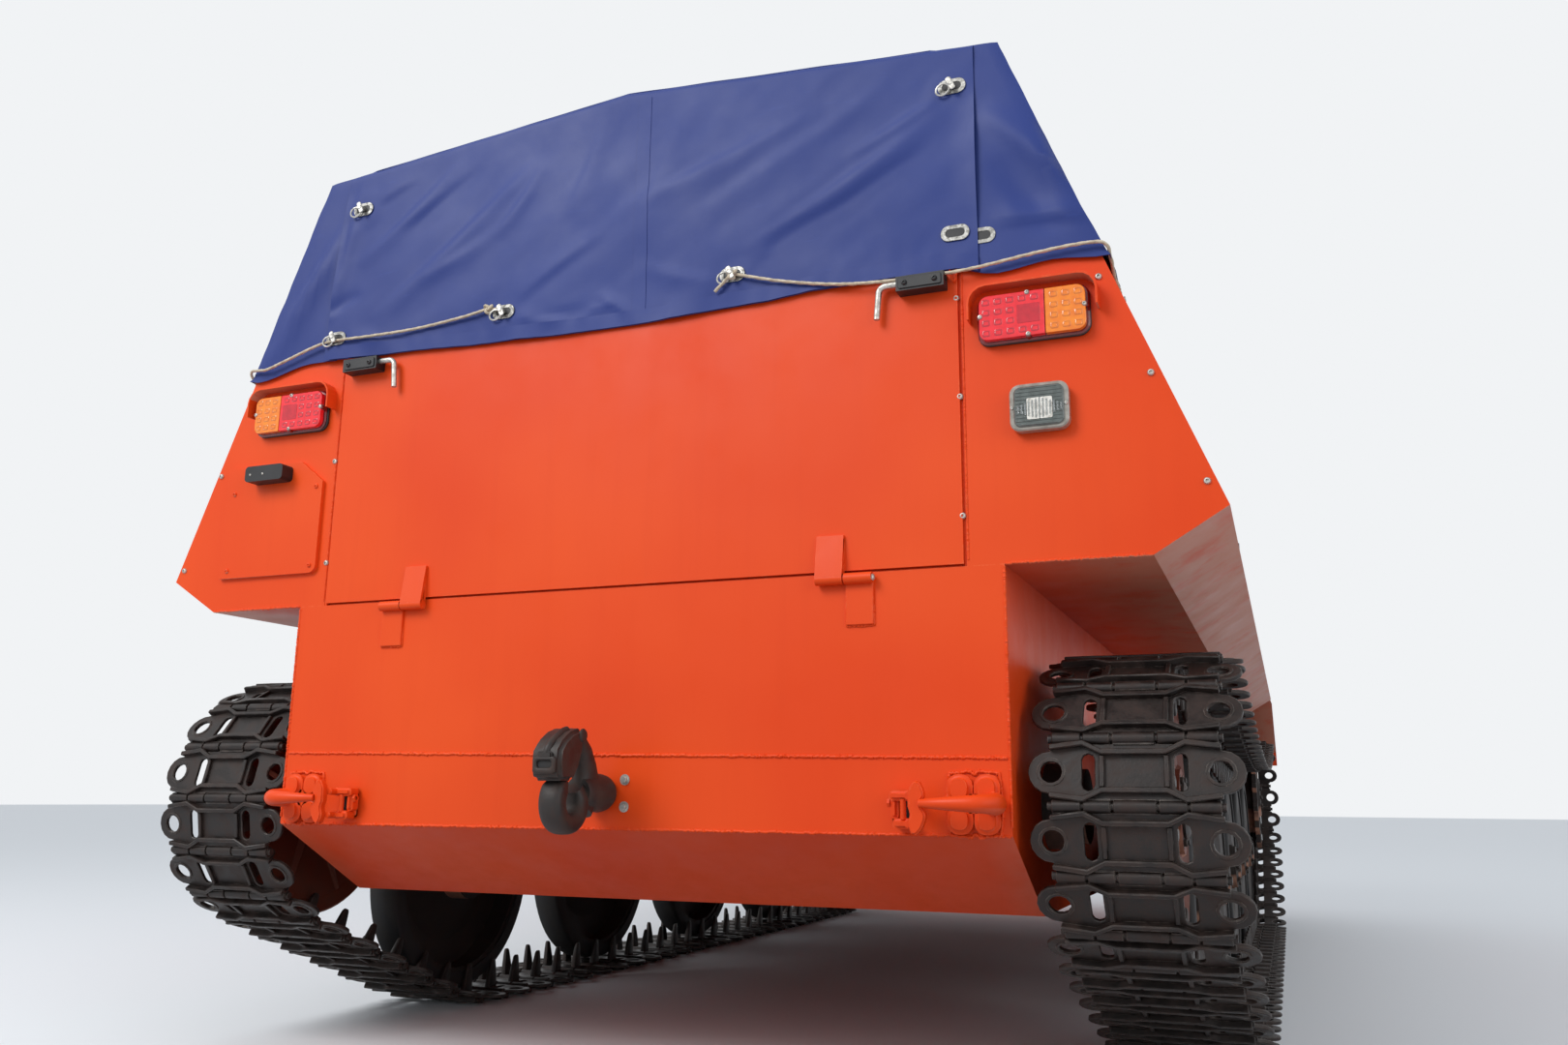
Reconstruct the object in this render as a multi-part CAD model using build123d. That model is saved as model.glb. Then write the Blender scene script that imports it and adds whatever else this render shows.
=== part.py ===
"""Tracked all-terrain carrier with a canvas-covered load bed, in millimetres.

+Y is forward, +X is the carrier's right, +Z is up, and the ground is z = 0.
Stations (y) are measured forward from the outside of the rear plate while the
pieces are made, and every piece is moved back by mid_station when it is written.
"""
import math
import os

from build123d import *

# Running gear
gauge = 2180
shoe_width = 390
shoe_pitch = 128
shoe_inner = 11
shoe_outer = 22
shoe_waist = 300
shoe_notch = 50
wheel_count = 5
wheel_radius = 340
wheel_width = 95
tyre_depth = 46
wheel_spacing = 850
first_wheel = 990
idler_station = 330
idler_height = 592
idler_pins = 305
idler_width = 92
idler_hub = 84
idler_hub_proud = 14
idler_web = 48
idler_dish = 40
idler_edge = 6
sprocket_station = 5100
sprocket_height = 640
sprocket_teeth = 14
sprocket_rims = 166
drive_flange_radius = 190
drive_flange_thickness = 26
drive_case_radius = 150
drive_gap = 8
rim_thickness = 22
run_gap = 0.5
arm_reach = 270
arm_rise = 110
arm_thickness = 46
axle_radius = 30
boss_radius = 62

# Hull
track_clear = 25
hull_half = gauge / 2 - shoe_width / 2 - track_clear
hull_plate = 8
hull_bottom = 380
bend_height = 545
rear_chamfer = 295
floor_height = 1060
nose_start = 4700
nose_station = 5440
nose_low = 820
nose_high = 900
cowl_station = 4750
cowl_height = 1330
deck_plate = 12
bearer_width = 60
bearer_inset = 120

# Upper body
wall = 30
widest = 1290
chamfer_run = 140
chamfer_rise = 85
side_lean = 217
side_rise = 555
bed_length = 3180
cab_wall = 40
roof_height = 2130
roof_front = 4440
seam = 6
floor_edge = widest - chamfer_run
widest_height = floor_height + chamfer_rise
rail_half = widest - side_lean
rail_height = widest_height + side_rise

# Load cover
cover_thickness = 8
cover_clear = 1
cover_hem = rail_height + 9
side_hem = rail_height - 48
cover_shoulder = rail_height + 490
cover_ridge = cover_shoulder + 72
bow_count = 4
bow_first = 60
bow_tube = 32
bow_bend = 60
rope_radius = 3.5
rope_rest = 0.1
rope_bend = 4
rope_low = side_hem - 11

bench_height = 400
bench_width = 320
bench_thickness = 30
bench_end = 120
bench_leg = 40

# Tailgate and its fittings
gate_half = rail_half - 283
gate_bottom = floor_height + 5
gate_top = rail_height
gate_proud = 4
hinge_out = 13
hinge_height = gate_bottom - 18
hinge_barrel = 10
hinge_pin = 4.5
leaf_width = 60
leaf_thickness = 6
hinge_places = (-554, 544)
bolt_drop = 36
bolt_radius = 6.5
bolt_inner = 668
bolt_outer = 770
bolt_out = 17
bolt_handle = 627

# Barrel hinges of the lids, doors and socket flap
lid_hinge_out = 9
lid_barrel = 8
lid_pin = 4
lid_pin_gap = 0.4
lid_knuckle = 32
lid_leaf = 5
lid_leaf_reach = 38

# Rear fittings
flap_width = 307
flap_inner = gate_half + 38
flap_outer = flap_inner + flap_width
flap_low = widest_height - 2
flap_high = flap_low + 287
flap_cut = 55
flap_slant = 72
flap_proud = 10
flap_corner = 20
lamp_place = rail_half - 128
lamp_width = 226
lamp_height = 110
lamp_middle = rail_height - 140
lamp_depth = 30
lamp_corner = 20
hood_gap = 13
hood_thickness = 4
hood_bend = 34
reverse_place = lamp_place + 9
reverse_middle = lamp_middle - 204
reverse_size = (116, 96, 34)
plate_lamp_size = (120, 40, 37)
plate_lamp_place = flap_inner + 157
plate_lamp_middle = flap_high - 30
hitch_height = bend_height + 74
hitch_reach = 232
shank_radius = 38
ring_radius = 63
ring_bore = 29
ring_out = 160
ring_drop = 19
hook_width = 46
keeper_width = 72
keeper_gap = 34
keeper_rise = 117
hook_place = hull_half - 70
hook_height = bend_height + 59
hook_reach = 92
hook_base = 36
hook_tip = 20
hook_pad = (104, 110, 20)
latch_reach = 162

# Cab
door_rear = 3560
door_front = 4300
door_low = 60
door_high = 955
sill_height = cowl_height + 230
screen_low = 90
screen_margin = 118
back_half = 330
back_head = 230
cab_floor_height = 760
seat_place = 590
seat_width = 470
seat_station = 3640
seat_length = 500
seat_low = 1040
seat_high = 1150
seat_top = 1640
engine_half = 270
engine_length = 880
engine_station = 3400
engine_low = 500
engine_high = 1150
hump_half = 330
hatch_place = 470
hatch_size = 520
hatch_station = 3500
nose_hatch_half = 400
hatch_start = 110
hatch_end = 560
front_reach = 90
front_hook_place = 640
front_hook_bar = 14
headlamp_place = 640
headlamp_radius = 95
headlamp_back = 150
headlamp_rise = 235
mirror_height = 1700
mirror_ahead = 95
mirror_pad = 60
mirror_tube = 9
mirror_size = (112, 200, 24)

# Sizes that follow
track_middle = gauge / 2
pin_height = shoe_outer
wheel_pins = math.hypot(wheel_radius + shoe_inner + run_gap, shoe_pitch / 2)
wheel_height = pin_height + wheel_pins
idler_radius = math.sqrt(idler_pins**2 - (shoe_pitch / 2) ** 2) - shoe_inner - run_gap
sprocket_pins = shoe_pitch / 2 / math.sin(math.pi / sprocket_teeth)
sprocket_radius = math.sqrt(sprocket_pins**2 - (shoe_pitch / 2) ** 2) - shoe_inner - 1
mid_station = (nose_station + front_reach - hitch_reach) / 2
side_run = math.hypot(widest - rail_half, rail_height - widest_height)
side_in = (widest - rail_half) / side_run
side_up = (rail_height - widest_height) / side_run

pieces = {}


def side_x(height):
    """Half width of the sloping body side at a height above the widest edge."""
    return widest - (height - widest_height) * side_in / side_up


def polygon(points):
    return make_face(Polyline(*points, close=True))


def yz_prism(points, x0, x1):
    """Outline in (station, height), carried from x0 to x1."""
    return Pos(x0, 0, 0) * extrude(Plane.YZ * polygon(points), x1 - x0, dir=(1, 0, 0))


def xz_prism(points, y0, y1):
    """Outline in (x, height), carried from station y0 to y1."""
    return Pos(0, y0, 0) * extrude(Plane.XZ * polygon(points), y1 - y0, dir=(0, 1, 0))


def block(x0, x1, y0, y1, z0, z1):
    low, size = (min(x0, x1), min(y0, y1), min(z0, z1)), (abs(x1 - x0), abs(y1 - y0), abs(z1 - z0))
    return Pos(*low) * Box(*size, align=(Align.MIN, Align.MIN, Align.MIN))


def rod_x(x0, x1, y, z, radius):
    """Round bar along X."""
    return Pos((x0 + x1) / 2, y, z) * Rot(0, 90, 0) * Cylinder(radius, abs(x1 - x0))


def mirrored(shape):
    return mirror(shape, about=Plane.YZ)


def both(shape):
    return [shape, mirrored(shape)]


def unit(a, b):
    size = math.hypot(b[0] - a[0], b[1] - a[1])
    return (b[0] - a[0]) / size, (b[1] - a[1]) / size


def mitre(points, offset, closed=False):
    """Points moved sideways (left of travel positive) and mitred at each corner."""
    count = len(points)
    moved = []
    for i, point in enumerate(points):
        before = unit(points[i - 1], point) if closed or i > 0 else None
        after = unit(point, points[(i + 1) % count]) if closed or i < count - 1 else None
        before, after = before or after, after or before
        turn = 1 + before[0] * after[0] + before[1] * after[1]
        moved.append((point[0] - offset * (before[1] + after[1]) / turn,
                      point[1] + offset * (before[0] + after[0]) / turn))
    return moved


def plate(points, thickness):
    """Folded plate outline: a line of points thickened to the left of travel."""
    return points + mitre(points, thickness)[::-1]


side_plane = Plane(origin=(widest, 0, widest_height), x_dir=(0, 1, 0), z_dir=(side_up, 0, side_in))


def on_side(points, inner, outer):
    """Outline in (station, distance up the slope), from inner to outer across the right side."""
    face = side_plane.offset(inner) * polygon(points)
    return extrude(face, outer - inner, dir=side_plane.z_dir)


def up_side(height):
    """Distance up the sloping side at which it reaches a height."""
    return (height - widest_height) / side_up


def barrel_hinge(place):
    """Moving and fixed halves of a barrel hinge.

    place has its origin on the pin, its x axis along the pin, its y axis over the
    moving side and its z axis out of the surface.
    """
    half, low = lid_knuckle / 2, -lid_hinge_out

    def knuckle(x, side):
        barrel = Pos(x, 0, 0) * Rot(0, 90, 0) * Cylinder(lid_barrel, lid_knuckle)
        y0, y1 = sorted((0, side * lid_leaf_reach))
        return barrel + block(x - half, x + half, y0, y1, low, low + lid_leaf)

    step = lid_knuckle + 1
    pin = Rot(0, 90, 0) * Cylinder(lid_pin, 2 * step + lid_knuckle)
    bore = Rot(0, 90, 0) * Cylinder(lid_pin + lid_pin_gap, 3 * step)
    moving = knuckle(0, 1) - bore
    fixed = knuckle(-step, -1) + knuckle(step, -1) + pin
    return place * moving, place * fixed


# Tracks and wheels


def sag_circle():
    """Circle of the hanging top run: centre station, radius and lowest height."""
    low = wheel_height + wheel_pins
    ends = ((idler_station, idler_height, idler_pins), (sprocket_station, sprocket_height, sprocket_pins))

    def radius(station, end):
        y, z, r = end
        return ((station - y) ** 2 + (low - z) ** 2 - r**2) / (2 * (r + z - low))

    left, right = idler_station, sprocket_station
    for _ in range(50):
        middle = (left + right) / 2
        if radius(middle, ends[0]) < radius(middle, ends[1]):
            left = middle
        else:
            right = middle
    return middle, radius(middle, ends[0]), low


def tangent(first, second):
    """Ends of the line that touches two circles on their right as it is travelled."""
    (y1, z1, r1), (y2, z2, r2) = first, second
    heading = math.atan2(z2 - z1, y2 - y1)
    lean = math.asin((r1 - r2) / math.hypot(y2 - y1, z2 - z1))
    out = heading + lean - math.pi / 2
    side = (math.cos(out), math.sin(out))
    return (y1 + r1 * side[0], z1 + r1 * side[1]), (y2 + r2 * side[0], z2 + r2 * side[1])


def arc(circle, start, end):
    """Counter-clockwise arc on a circle from one point to another."""
    y, z, r = circle
    a = math.atan2(start[1] - z, start[0] - y)
    b = math.atan2(end[1] - z, end[0] - y)
    b += 2 * math.pi if b < a else 0
    middle = (y + r * math.cos((a + b) / 2), z + r * math.sin((a + b) / 2))
    return ThreePointArc(start, middle, end)


def pin_points():
    """Hinge pins of one track, evenly spaced round the idler, wheels and sprocket."""
    last_wheel = first_wheel + (wheel_count - 1) * wheel_spacing
    idler = (idler_station, idler_height, idler_pins)
    rear = (first_wheel, wheel_height, wheel_pins)
    front = (last_wheel, wheel_height, wheel_pins)
    sprocket = (sprocket_station, sprocket_height, sprocket_pins)
    middle, sag, low = sag_circle()

    def touch(circle):
        toward = unit((circle[0], circle[1]), (middle, low + sag))
        return circle[0] + circle[2] * toward[0], circle[1] + circle[2] * toward[1]

    a0, a1 = tangent(idler, rear)
    b0, b1 = tangent(rear, front)
    c0, c1 = tangent(front, sprocket)
    loop = Wire([
        arc(idler, touch(idler), a0), Line(a0, a1), arc(rear, a1, b0), Line(b0, b1),
        arc(front, b1, c0), Line(c0, c1), arc(sprocket, c1, touch(sprocket)),
        ThreePointArc(touch(sprocket), (middle, low), touch(idler)),
    ])
    count = round(loop.length / shoe_pitch)
    return [(p.X, p.Y) for p in (loop.position_at(i / count) for i in range(count))]


def track():
    """Right track: one loop of shoes, notched between the rounded ears at both edges."""
    pins = pin_points()
    outer = mitre(pins, -shoe_outer, closed=True)
    inner = mitre(pins, shoe_inner, closed=True)
    edge = shoe_width / 2
    ring = yz_prism(outer, -edge, edge) - yz_prism(inner, -edge - 1, edge + 1)
    notches = []
    for outside, inside in zip(outer, inner):
        out = unit(inside, outside)
        place = Plane(origin=(0, inside[0], inside[1]), x_dir=(1, 0, 0), z_dir=(0, *out))
        for side in (-1, 1):
            tip, mouth, half = side * shoe_waist / 2, side * (edge + 5), shoe_notch / 2
            half *= (abs(mouth) - abs(tip)) / (edge - abs(tip))
            cut = place.offset(-5) * polygon([(tip, 0), (mouth, half), (mouth, -half)])
            notches.append(extrude(cut, shoe_inner + shoe_outer + 20, dir=place.z_dir))
    return Pos(track_middle, 0, 0) * (ring - notches)


def revolved(profile, y, z, x=0):
    """Profile in (radius, x), turned about the X axis at a wheel's centre."""
    face = make_face(Polyline(*profile, close=True))
    return Pos(x, y, z) * Rot(0, 90, 0) * Rot(0, 0, 90) * revolve(Plane.XZ * face, axis=Axis.Z)


def wheel_stations():
    return [first_wheel + i * wheel_spacing for i in range(wheel_count)]


def road_wheels():
    """Pressed-steel discs, dished outward, each on a hub."""
    half, rim = wheel_width / 2, wheel_radius - tyre_depth
    disc = [
        (axle_radius + run_gap, -half - 20), (78, -half - 20), (78, -8), (120, 2), (200, half - 22),
        (rim - 14, half - 22),
        (rim - 14, -half + 6), (rim, -half + 6), (rim, half - 6), (rim - 20, half - 6),
        (200, half - 10), (120, 16), (78, 10), (78, half), (axle_radius + run_gap, half),
    ]
    return [revolved(disc, y, wheel_height, track_middle) for y in wheel_stations()]


def wheel_tyres():
    """Solid rubber bands round the road wheels."""
    half, rim = wheel_width / 2, wheel_radius - tyre_depth
    band = [(rim, -half), (wheel_radius - 6, -half), (wheel_radius, -half + 8),
            (wheel_radius, half - 8), (wheel_radius - 6, half), (rim, half)]
    return [revolved(band, y, wheel_height, track_middle) for y in wheel_stations()]


def arm(y, z):
    """Swing arm from its pivot boss on the hull side back and down to a wheel's axle."""
    inner = hull_half
    pivot = (y + arm_reach, z + arm_rise)
    outer = inner + 30 + arm_thickness
    web = inner + 30
    boss = rod_x(inner, outer, *pivot, boss_radius)
    eye = rod_x(web, outer, y, z, boss_radius - 12)
    along = unit((y, z), pivot)
    across = (-along[1], along[0])
    corners = [(pivot, boss_radius - 8), (pivot, -boss_radius + 8),
               ((y, z), -boss_radius + 18), ((y, z), boss_radius - 18)]
    web_shape = yz_prism([(p[0] + across[0] * w, p[1] + across[1] * w) for p, w in corners], web, outer)
    axle = rod_x(web, track_middle + wheel_width / 2 + 12, y, z, axle_radius)
    return boss + eye + web_shape + axle


def idler():
    """Rear idler: two dished discs back to back on a broad hub, on a cranked axle."""
    half = idler_width / 2
    bore = axle_radius + run_gap
    hub, proud, web, edge = idler_hub, half + idler_hub_proud, idler_web / 2, idler_edge
    rim = idler_radius
    right = [(rim, half - edge), (rim - edge, half), (rim - idler_dish, half - 10), (hub, web), (hub, proud),
             (bore, proud)]
    disc = [(r, -x) for r, x in right[::-1]] + right
    return revolved(disc, idler_station, idler_height, track_middle)


def idler_axle():
    pivot = (idler_station + 60, idler_height + 8)
    boss = rod_x(hull_half, hull_half + 40, *pivot, 90)
    web = rod_x(hull_half + 40, hull_half + 84, *pivot, 78)
    end = track_middle + idler_width / 2 + 22
    return boss + web + rod_x(hull_half + 60, end, idler_station, idler_height, axle_radius)


def toothed_rim(x):
    """One rim of the sprocket with a tooth for each shoe."""
    step = 360 / sprocket_teeth
    root = sprocket_radius - 36
    tooth = polygon([(root - 6, -30), (sprocket_radius, -12), (sprocket_radius, 12), (root - 6, 30)])
    outline = Circle(root) + [Rot(0, 0, (i + 0.5) * step) * tooth for i in range(sprocket_teeth)]
    outline -= Circle(root - 50)
    rim = extrude(Plane.YZ * outline, rim_thickness)
    return Pos(x - rim_thickness / 2, sprocket_station, sprocket_height) * rim


def sprocket():
    """Front drive sprocket: a drum with two toothed rims, bolted to the final drive."""
    half, root = sprocket_rims / 2, sprocket_radius - 36
    drum = [(0, -half - 8), (root - 60, -half - 8), (root - 44, -half + 12), (root - 44, half - 12),
            (root - 60, half + 8), (110, half + 8), (96, half + 22), (0, half + 22)]
    body = revolved(drum, sprocket_station, sprocket_height, track_middle)
    return body + toothed_rim(track_middle - half) + toothed_rim(track_middle + half)


def final_drive():
    axis = (sprocket_station, sprocket_height)
    face = hull_half + drive_flange_thickness
    flange = rod_x(hull_half, face, *axis, drive_flange_radius)
    case = rod_x(face, track_middle - sprocket_rims / 2 - drive_gap, *axis, drive_case_radius)
    return flange + case


# Hull


def glacis():
    """Outside line of the sloping front deck, from the nose lip up to the cowl."""
    return [(nose_station, nose_low), (nose_station, nose_high), (cowl_station, cowl_height)]


def hull_tub():
    """Welded lower hull: bottom, sides, rear plate with its bottom chamfer and the nose."""
    deck = mitre(glacis(), deck_plate)
    slope = (cowl_height - nose_high) / (nose_station - cowl_station)
    line = [(0, floor_height), (0, bend_height), (rear_chamfer, hull_bottom), (nose_start, hull_bottom),
            (nose_station, nose_low)]
    cowl = (cowl_station, deck[1][1] + (deck[1][0] - cowl_station) * slope)
    shell = line + [deck[1], cowl, (cowl_station, floor_height)]
    inside = mitre(line, hull_plate)
    hollow = inside + [(inside[-1][0], cowl_height + 60), (inside[0][0], cowl_height + 60)]
    tub = yz_prism(shell, -hull_half, hull_half)
    tub -= yz_prism(hollow, -hull_half + hull_plate, hull_half - hull_plate)
    nose = deck[1]
    tub -= block(-hull_half - 1, hull_half + 1, nose[0], nose_station + 1, nose_low, nose_high + 40)
    room, floor = hull_half - hull_plate, hull_bottom + hull_plate
    for y in (engine_station + bearer_inset, engine_station + engine_length - bearer_inset):
        tub += block(-room, room, y - bearer_width / 2, y + bearer_width / 2, floor, engine_low)
    return tub


def nose_deck():
    """Front deck over the full width, with its lip and the opening of the gearbox hatch."""
    half = widest
    deck = yz_prism(plate(glacis(), deck_plate), -half, half)
    deck -= block(-half - 1, half + 1, 0, cowl_station, 0, cowl_height + 1)
    outline = [(-half, 0), (half, 0), (half, widest_height), (side_x(cowl_height), cowl_height + 20),
               (-side_x(cowl_height), cowl_height + 20), (-half, widest_height)]
    deck = (deck & xz_prism(outline, cowl_station - 50, nose_station + 50)) - nose_opening(0)
    for place in nose_hinge_places():
        deck += barrel_hinge(place)[1]
    return deck


def nose_hinge_places():
    """Pins of the gearbox hatch, along the edge of the opening nearest the cowl."""
    (y0, z0), (y1, z1) = glacis()[1:]
    along = unit((y1, z1), (y0, z0))
    out = (-along[1], along[0])
    reach = hatch_start + seam / 2
    y, z = y1 + along[0] * reach + out[0] * lid_hinge_out, z1 + along[1] * reach + out[1] * lid_hinge_out
    return [Plane(origin=(x, y, z), x_dir=(1, 0, 0), z_dir=(0, *out)) for x in (-240, 240)]


def nose_hatch():
    lid = nose_opening(seam)
    for place in nose_hinge_places():
        lid += barrel_hinge(place)[0]
    return lid


def nose_opening(inset):
    """Space of the gearbox hatch in the front deck, as a prism square to the deck."""
    (y0, z0), (y1, z1) = glacis()[1:]
    along = unit((y1, z1), (y0, z0))
    place = Plane(origin=(0, y1, z1), x_dir=(1, 0, 0), z_dir=(0, -along[1], along[0]))
    half, start, end = nose_hatch_half - inset, hatch_start + inset, hatch_end - inset
    under, over = (0, 0) if inset else (1, 1)
    outline = polygon([(-half, start), (half, start), (half, end), (-half, end)])
    outline = place.offset(-deck_plate - under) * outline
    return extrude(outline, deck_plate + under + over, dir=place.z_dir)


def sponson():
    """Right track cover: folded floor and chamfer, with the load bed's side wall above."""
    line = [(hull_half - wall, floor_height), (floor_edge, floor_height), (widest, widest_height)]
    bed = xz_prism(plate(line + [(rail_half, rail_height)], wall), wall, bed_length)
    low = plate(line, wall)
    cab = xz_prism(low[:3] + [(widest - cab_wall, widest_height)] + low[4:], bed_length, cowl_station)
    end = xz_prism([(hull_half, floor_height), (floor_edge, floor_height), (widest, widest_height),
                    (hull_half, widest_height)], cowl_station - wall, cowl_station)
    return bed + cab + end


def rear_panel():
    """Right rear corner panel between the tailgate and the body's edge."""
    edge = gate_half + seam
    outline = [(edge, floor_height), (floor_edge, floor_height), (widest, widest_height),
               (rail_half, rail_height), (edge, rail_height)]
    return xz_prism(outline, 0, wall)


def tailgate():
    gate = block(-gate_half, gate_half, -gate_proud, wall, gate_bottom, gate_top)
    for x in (-520, 0, 520):
        gate -= block(x - 225, x + 225, 12, wall + 1, gate_bottom + 50, gate_top - 50)
    for place in hinge_places:
        gate += gate_leaf(place)
    return gate


def gate_leaf(place):
    """Upper hinge leaf with its barrel, on the inboard side of each hinge."""
    side = -1 if place > 0 else 1
    x0, x1 = sorted((place + side * 1.5, place + side * leaf_width))
    leaf = block(x0, x1, -gate_proud - leaf_thickness, -gate_proud, gate_bottom, gate_bottom + 66)
    neck = block(x0, x1, -gate_proud - leaf_thickness, -gate_proud, hinge_height, gate_bottom)
    barrel = rod_x(x0, x1, -hinge_out, hinge_height, hinge_barrel)
    return (leaf + neck + barrel) - rod_x(x0 - 1, x1 + 1, -hinge_out, hinge_height, hinge_pin + 0.4)


def gate_hinge(place):
    """Lower hinge leaf on the rear plate, with the pin that carries the tailgate's leaf."""
    side = 1 if place > 0 else -1
    x0, x1 = sorted((place + side * 1.5, place + side * leaf_width))
    leaf = block(x0, x1, -leaf_thickness, 0, hinge_height - 92, hinge_height)
    barrel = rod_x(x0, x1, -hinge_out, hinge_height, hinge_barrel)
    pin = rod_x(place - side * leaf_width, place + side * leaf_width, -hinge_out, hinge_height, hinge_pin)
    return leaf + barrel + pin


def bolt_line():
    """Station and height of the sliding bolts."""
    return -gate_proud - bolt_out, gate_top - bolt_drop


def bolt_housing(side):
    """Black housing of a sliding bolt on the tailgate's top corner."""
    x0, x1 = sorted((side * bolt_inner, side * bolt_outer))
    y, z = bolt_line()
    body = block(x0, x1, y - bolt_out, -gate_proud, z - 22, z + 10)
    return body - rod_x(x0 - 1, x1 + 1, y, z, bolt_radius + 1)


def bolt_rod(side):
    """Zinc-plated rod of a sliding bolt, bent down into a handle at its inner end."""
    y, z = bolt_line()
    path = FilletPolyline((side * (bolt_outer - 4), y, z), (side * bolt_handle, y, z),
                          (side * (bolt_handle - 6), y, z - 2 * bolt_drop), radius=2.5 * bolt_radius)
    return sweep(Plane(origin=path @ 0, z_dir=path % 0) * Circle(bolt_radius), path)


# Load bed


def cover_section(grow):
    """Outline of the cover in (x, height), its sides in line with the body, grown outward."""
    out = (cover_clear + cover_thickness + grow) / side_up
    top = cover_shoulder + grow
    return [(side_x(side_hem) + out, side_hem), (side_x(top) + out, top), (0, cover_ridge + grow),
            (-side_x(top) - out, top), (-side_x(side_hem) - out, side_hem)]


def load_cover():
    """Canvas cover as one open-bottomed shell: roof, sides, rear flap and front flap."""
    front = bed_length - 6
    outer = xz_prism(cover_section(0), -cover_clear - cover_thickness, front)
    inner = xz_prism([(x, z - 1 if z == side_hem else z) for x, z in cover_section(-cover_thickness)],
                     -cover_clear, front - cover_thickness)
    wide, rear = rail_half * 2, -cover_clear - cover_thickness
    low_rear = block(-wide, wide, rear - 1, wall, side_hem - 2, cover_hem)
    low_front = block(-wide, wide, front - wall, front + 1, side_hem - 2, cover_hem)
    return outer - inner - low_rear - low_front


def cover_bows():
    """Hoops of square tube that carry the cover, their feet inside the load bed's walls."""
    hoops = []
    half = bow_tube / 2
    gap = cover_thickness + half + 1
    inside = (wall + half + 0.3) / side_up
    foot = floor_height + wall + bench_height - bench_thickness
    for i in range(bow_count):
        y = bow_first + (bed_length - 2 * bow_first) * i / (bow_count - 1)
        right = [(side_x(foot) - inside, y, foot), (side_x(rail_height) - inside, y, rail_height),
                 (side_x(cover_shoulder) - gap, y, cover_shoulder - gap), (0, y, cover_ridge - gap)]
        path = FilletPolyline(*right, *[(-x, y, z) for x, _, z in right[-2::-1]], radius=bow_bend)
        start = Plane(origin=path @ 0, x_dir=(0, 1, 0), z_dir=path % 0)
        hoops.append(sweep(start * Rectangle(bow_tube, bow_tube), path))
    return hoops


def cover_rope():
    """Lacing rope of the right side: from its eyelet along the rear hem and down the body's side."""
    out = -cover_clear - cover_thickness - rope_radius - rope_rest
    stand = cover_clear + cover_thickness + rope_radius + rope_rest
    lift = cover_hem + rope_radius + 3
    corner = side_x(lift) + stand / side_up

    def beside(station, height, off):
        return side_plane.from_local_coords(Vector(station, up_side(height), off))

    rest = rope_radius + rope_rest
    turn = beside(out, lift - 4, stand)
    ends = [(corner - 60, out, lift), (turn.X, turn.Y, turn.Z), beside(20, side_hem + 14, stand),
            beside(50, side_hem - 6, stand), beside(80, rope_low, rest),
            beside(bed_length - bow_first, rope_low, rest)]
    rows = (("right", [(250, 1720), (286, 1747), (395, 1728), (505, lift)]),
            ("left", [(313, 1744), (585, 1740), (816, 1743), (960, lift + 4)]))
    ropes = {}
    for name, eyes in rows:
        path = FilletPolyline(*[(x, out, z) for x, z in eyes], *ends, radius=rope_bend)
        ropes[name] = sweep(Plane(origin=path @ 0, z_dir=path % 0) * Circle(rope_radius), path)
    return [ropes["right"], mirrored(ropes["left"])]


def cargo_floor():
    half = hull_half - wall
    return block(-half, half, wall + seam, bed_length, floor_height, floor_height + wall)


def bench():
    """Folding bench along the right wall, on three legs from the track cover."""
    top, low = floor_height + wall + bench_height, floor_height + wall
    x0, x1 = hull_half - 130, hull_half - 130 + bench_width
    seat = block(x0, x1, bench_end, bed_length - bench_end, top - bench_thickness, top)
    for y in (bench_end + 140, bed_length / 2, bed_length - bench_end - 180):
        seat += block(hull_half, hull_half + bench_leg, y, y + bench_leg, low, top - bench_thickness)
    return seat


# Cab


def cab_line(inset):
    """Side outline of the cab in (station, height), drawn in by a wall's thickness."""
    lean = (cowl_station - roof_front) / (roof_height - cowl_height)
    shift = inset * math.hypot(1, lean)
    low = widest_height - (1 if inset else 0)
    sill, top = cowl_height - 0.75 * inset, roof_height - inset
    back, foot = bed_length + inset, cowl_station - inset
    line = [(back, low), (foot, low), (foot, sill)]
    if inset:
        line.append((cowl_station - shift - (sill - cowl_height) * lean, sill))
    return line + [(cowl_station - shift - (top - cowl_height) * lean, top), (back, top)]


def cab_shell():
    """Whole cab as one hollow box with sloping sides, before it is split into its panels."""
    def room(inset):
        low = widest_height - (1 if inset else 0)
        top = roof_height - inset
        shift = inset / side_up
        section = [(side_x(low) - shift, low), (side_x(top) - shift, top),
                   (-side_x(top) + shift, top), (-side_x(low) + shift, low)]
        profile = yz_prism(cab_line(inset), -widest, widest)
        return profile & xz_prism(section, bed_length - 1, cowl_station + 1)
    return room(0) - room(cab_wall)


def door_outline(grow):
    """Right door in (station, distance up the slope), with its front edge cut to the screen."""
    rear, front, low, high = door_rear - grow, door_front + grow, door_low - grow, door_high + grow
    return [(rear, low), (front, low), (front, high - 260), (front - 110, high), (rear, high)]


def door_window(grow):
    low, high = up_side(sill_height), door_high - 60
    return [(door_rear + 70 - grow, low - grow), (door_front - 75 + grow, low - grow),
            (door_front - 75 + grow, high - 190 + grow), (door_front - 150 + grow, high + grow),
            (door_rear + 70 - grow, high + grow)]


def side_window(grow):
    low, high = up_side(sill_height), door_high - 60
    rear, front = bed_length + 90 - grow, door_rear - 70 + grow
    return [(rear, low - grow), (front, low - grow), (front, high + grow), (rear, high + grow)]


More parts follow.
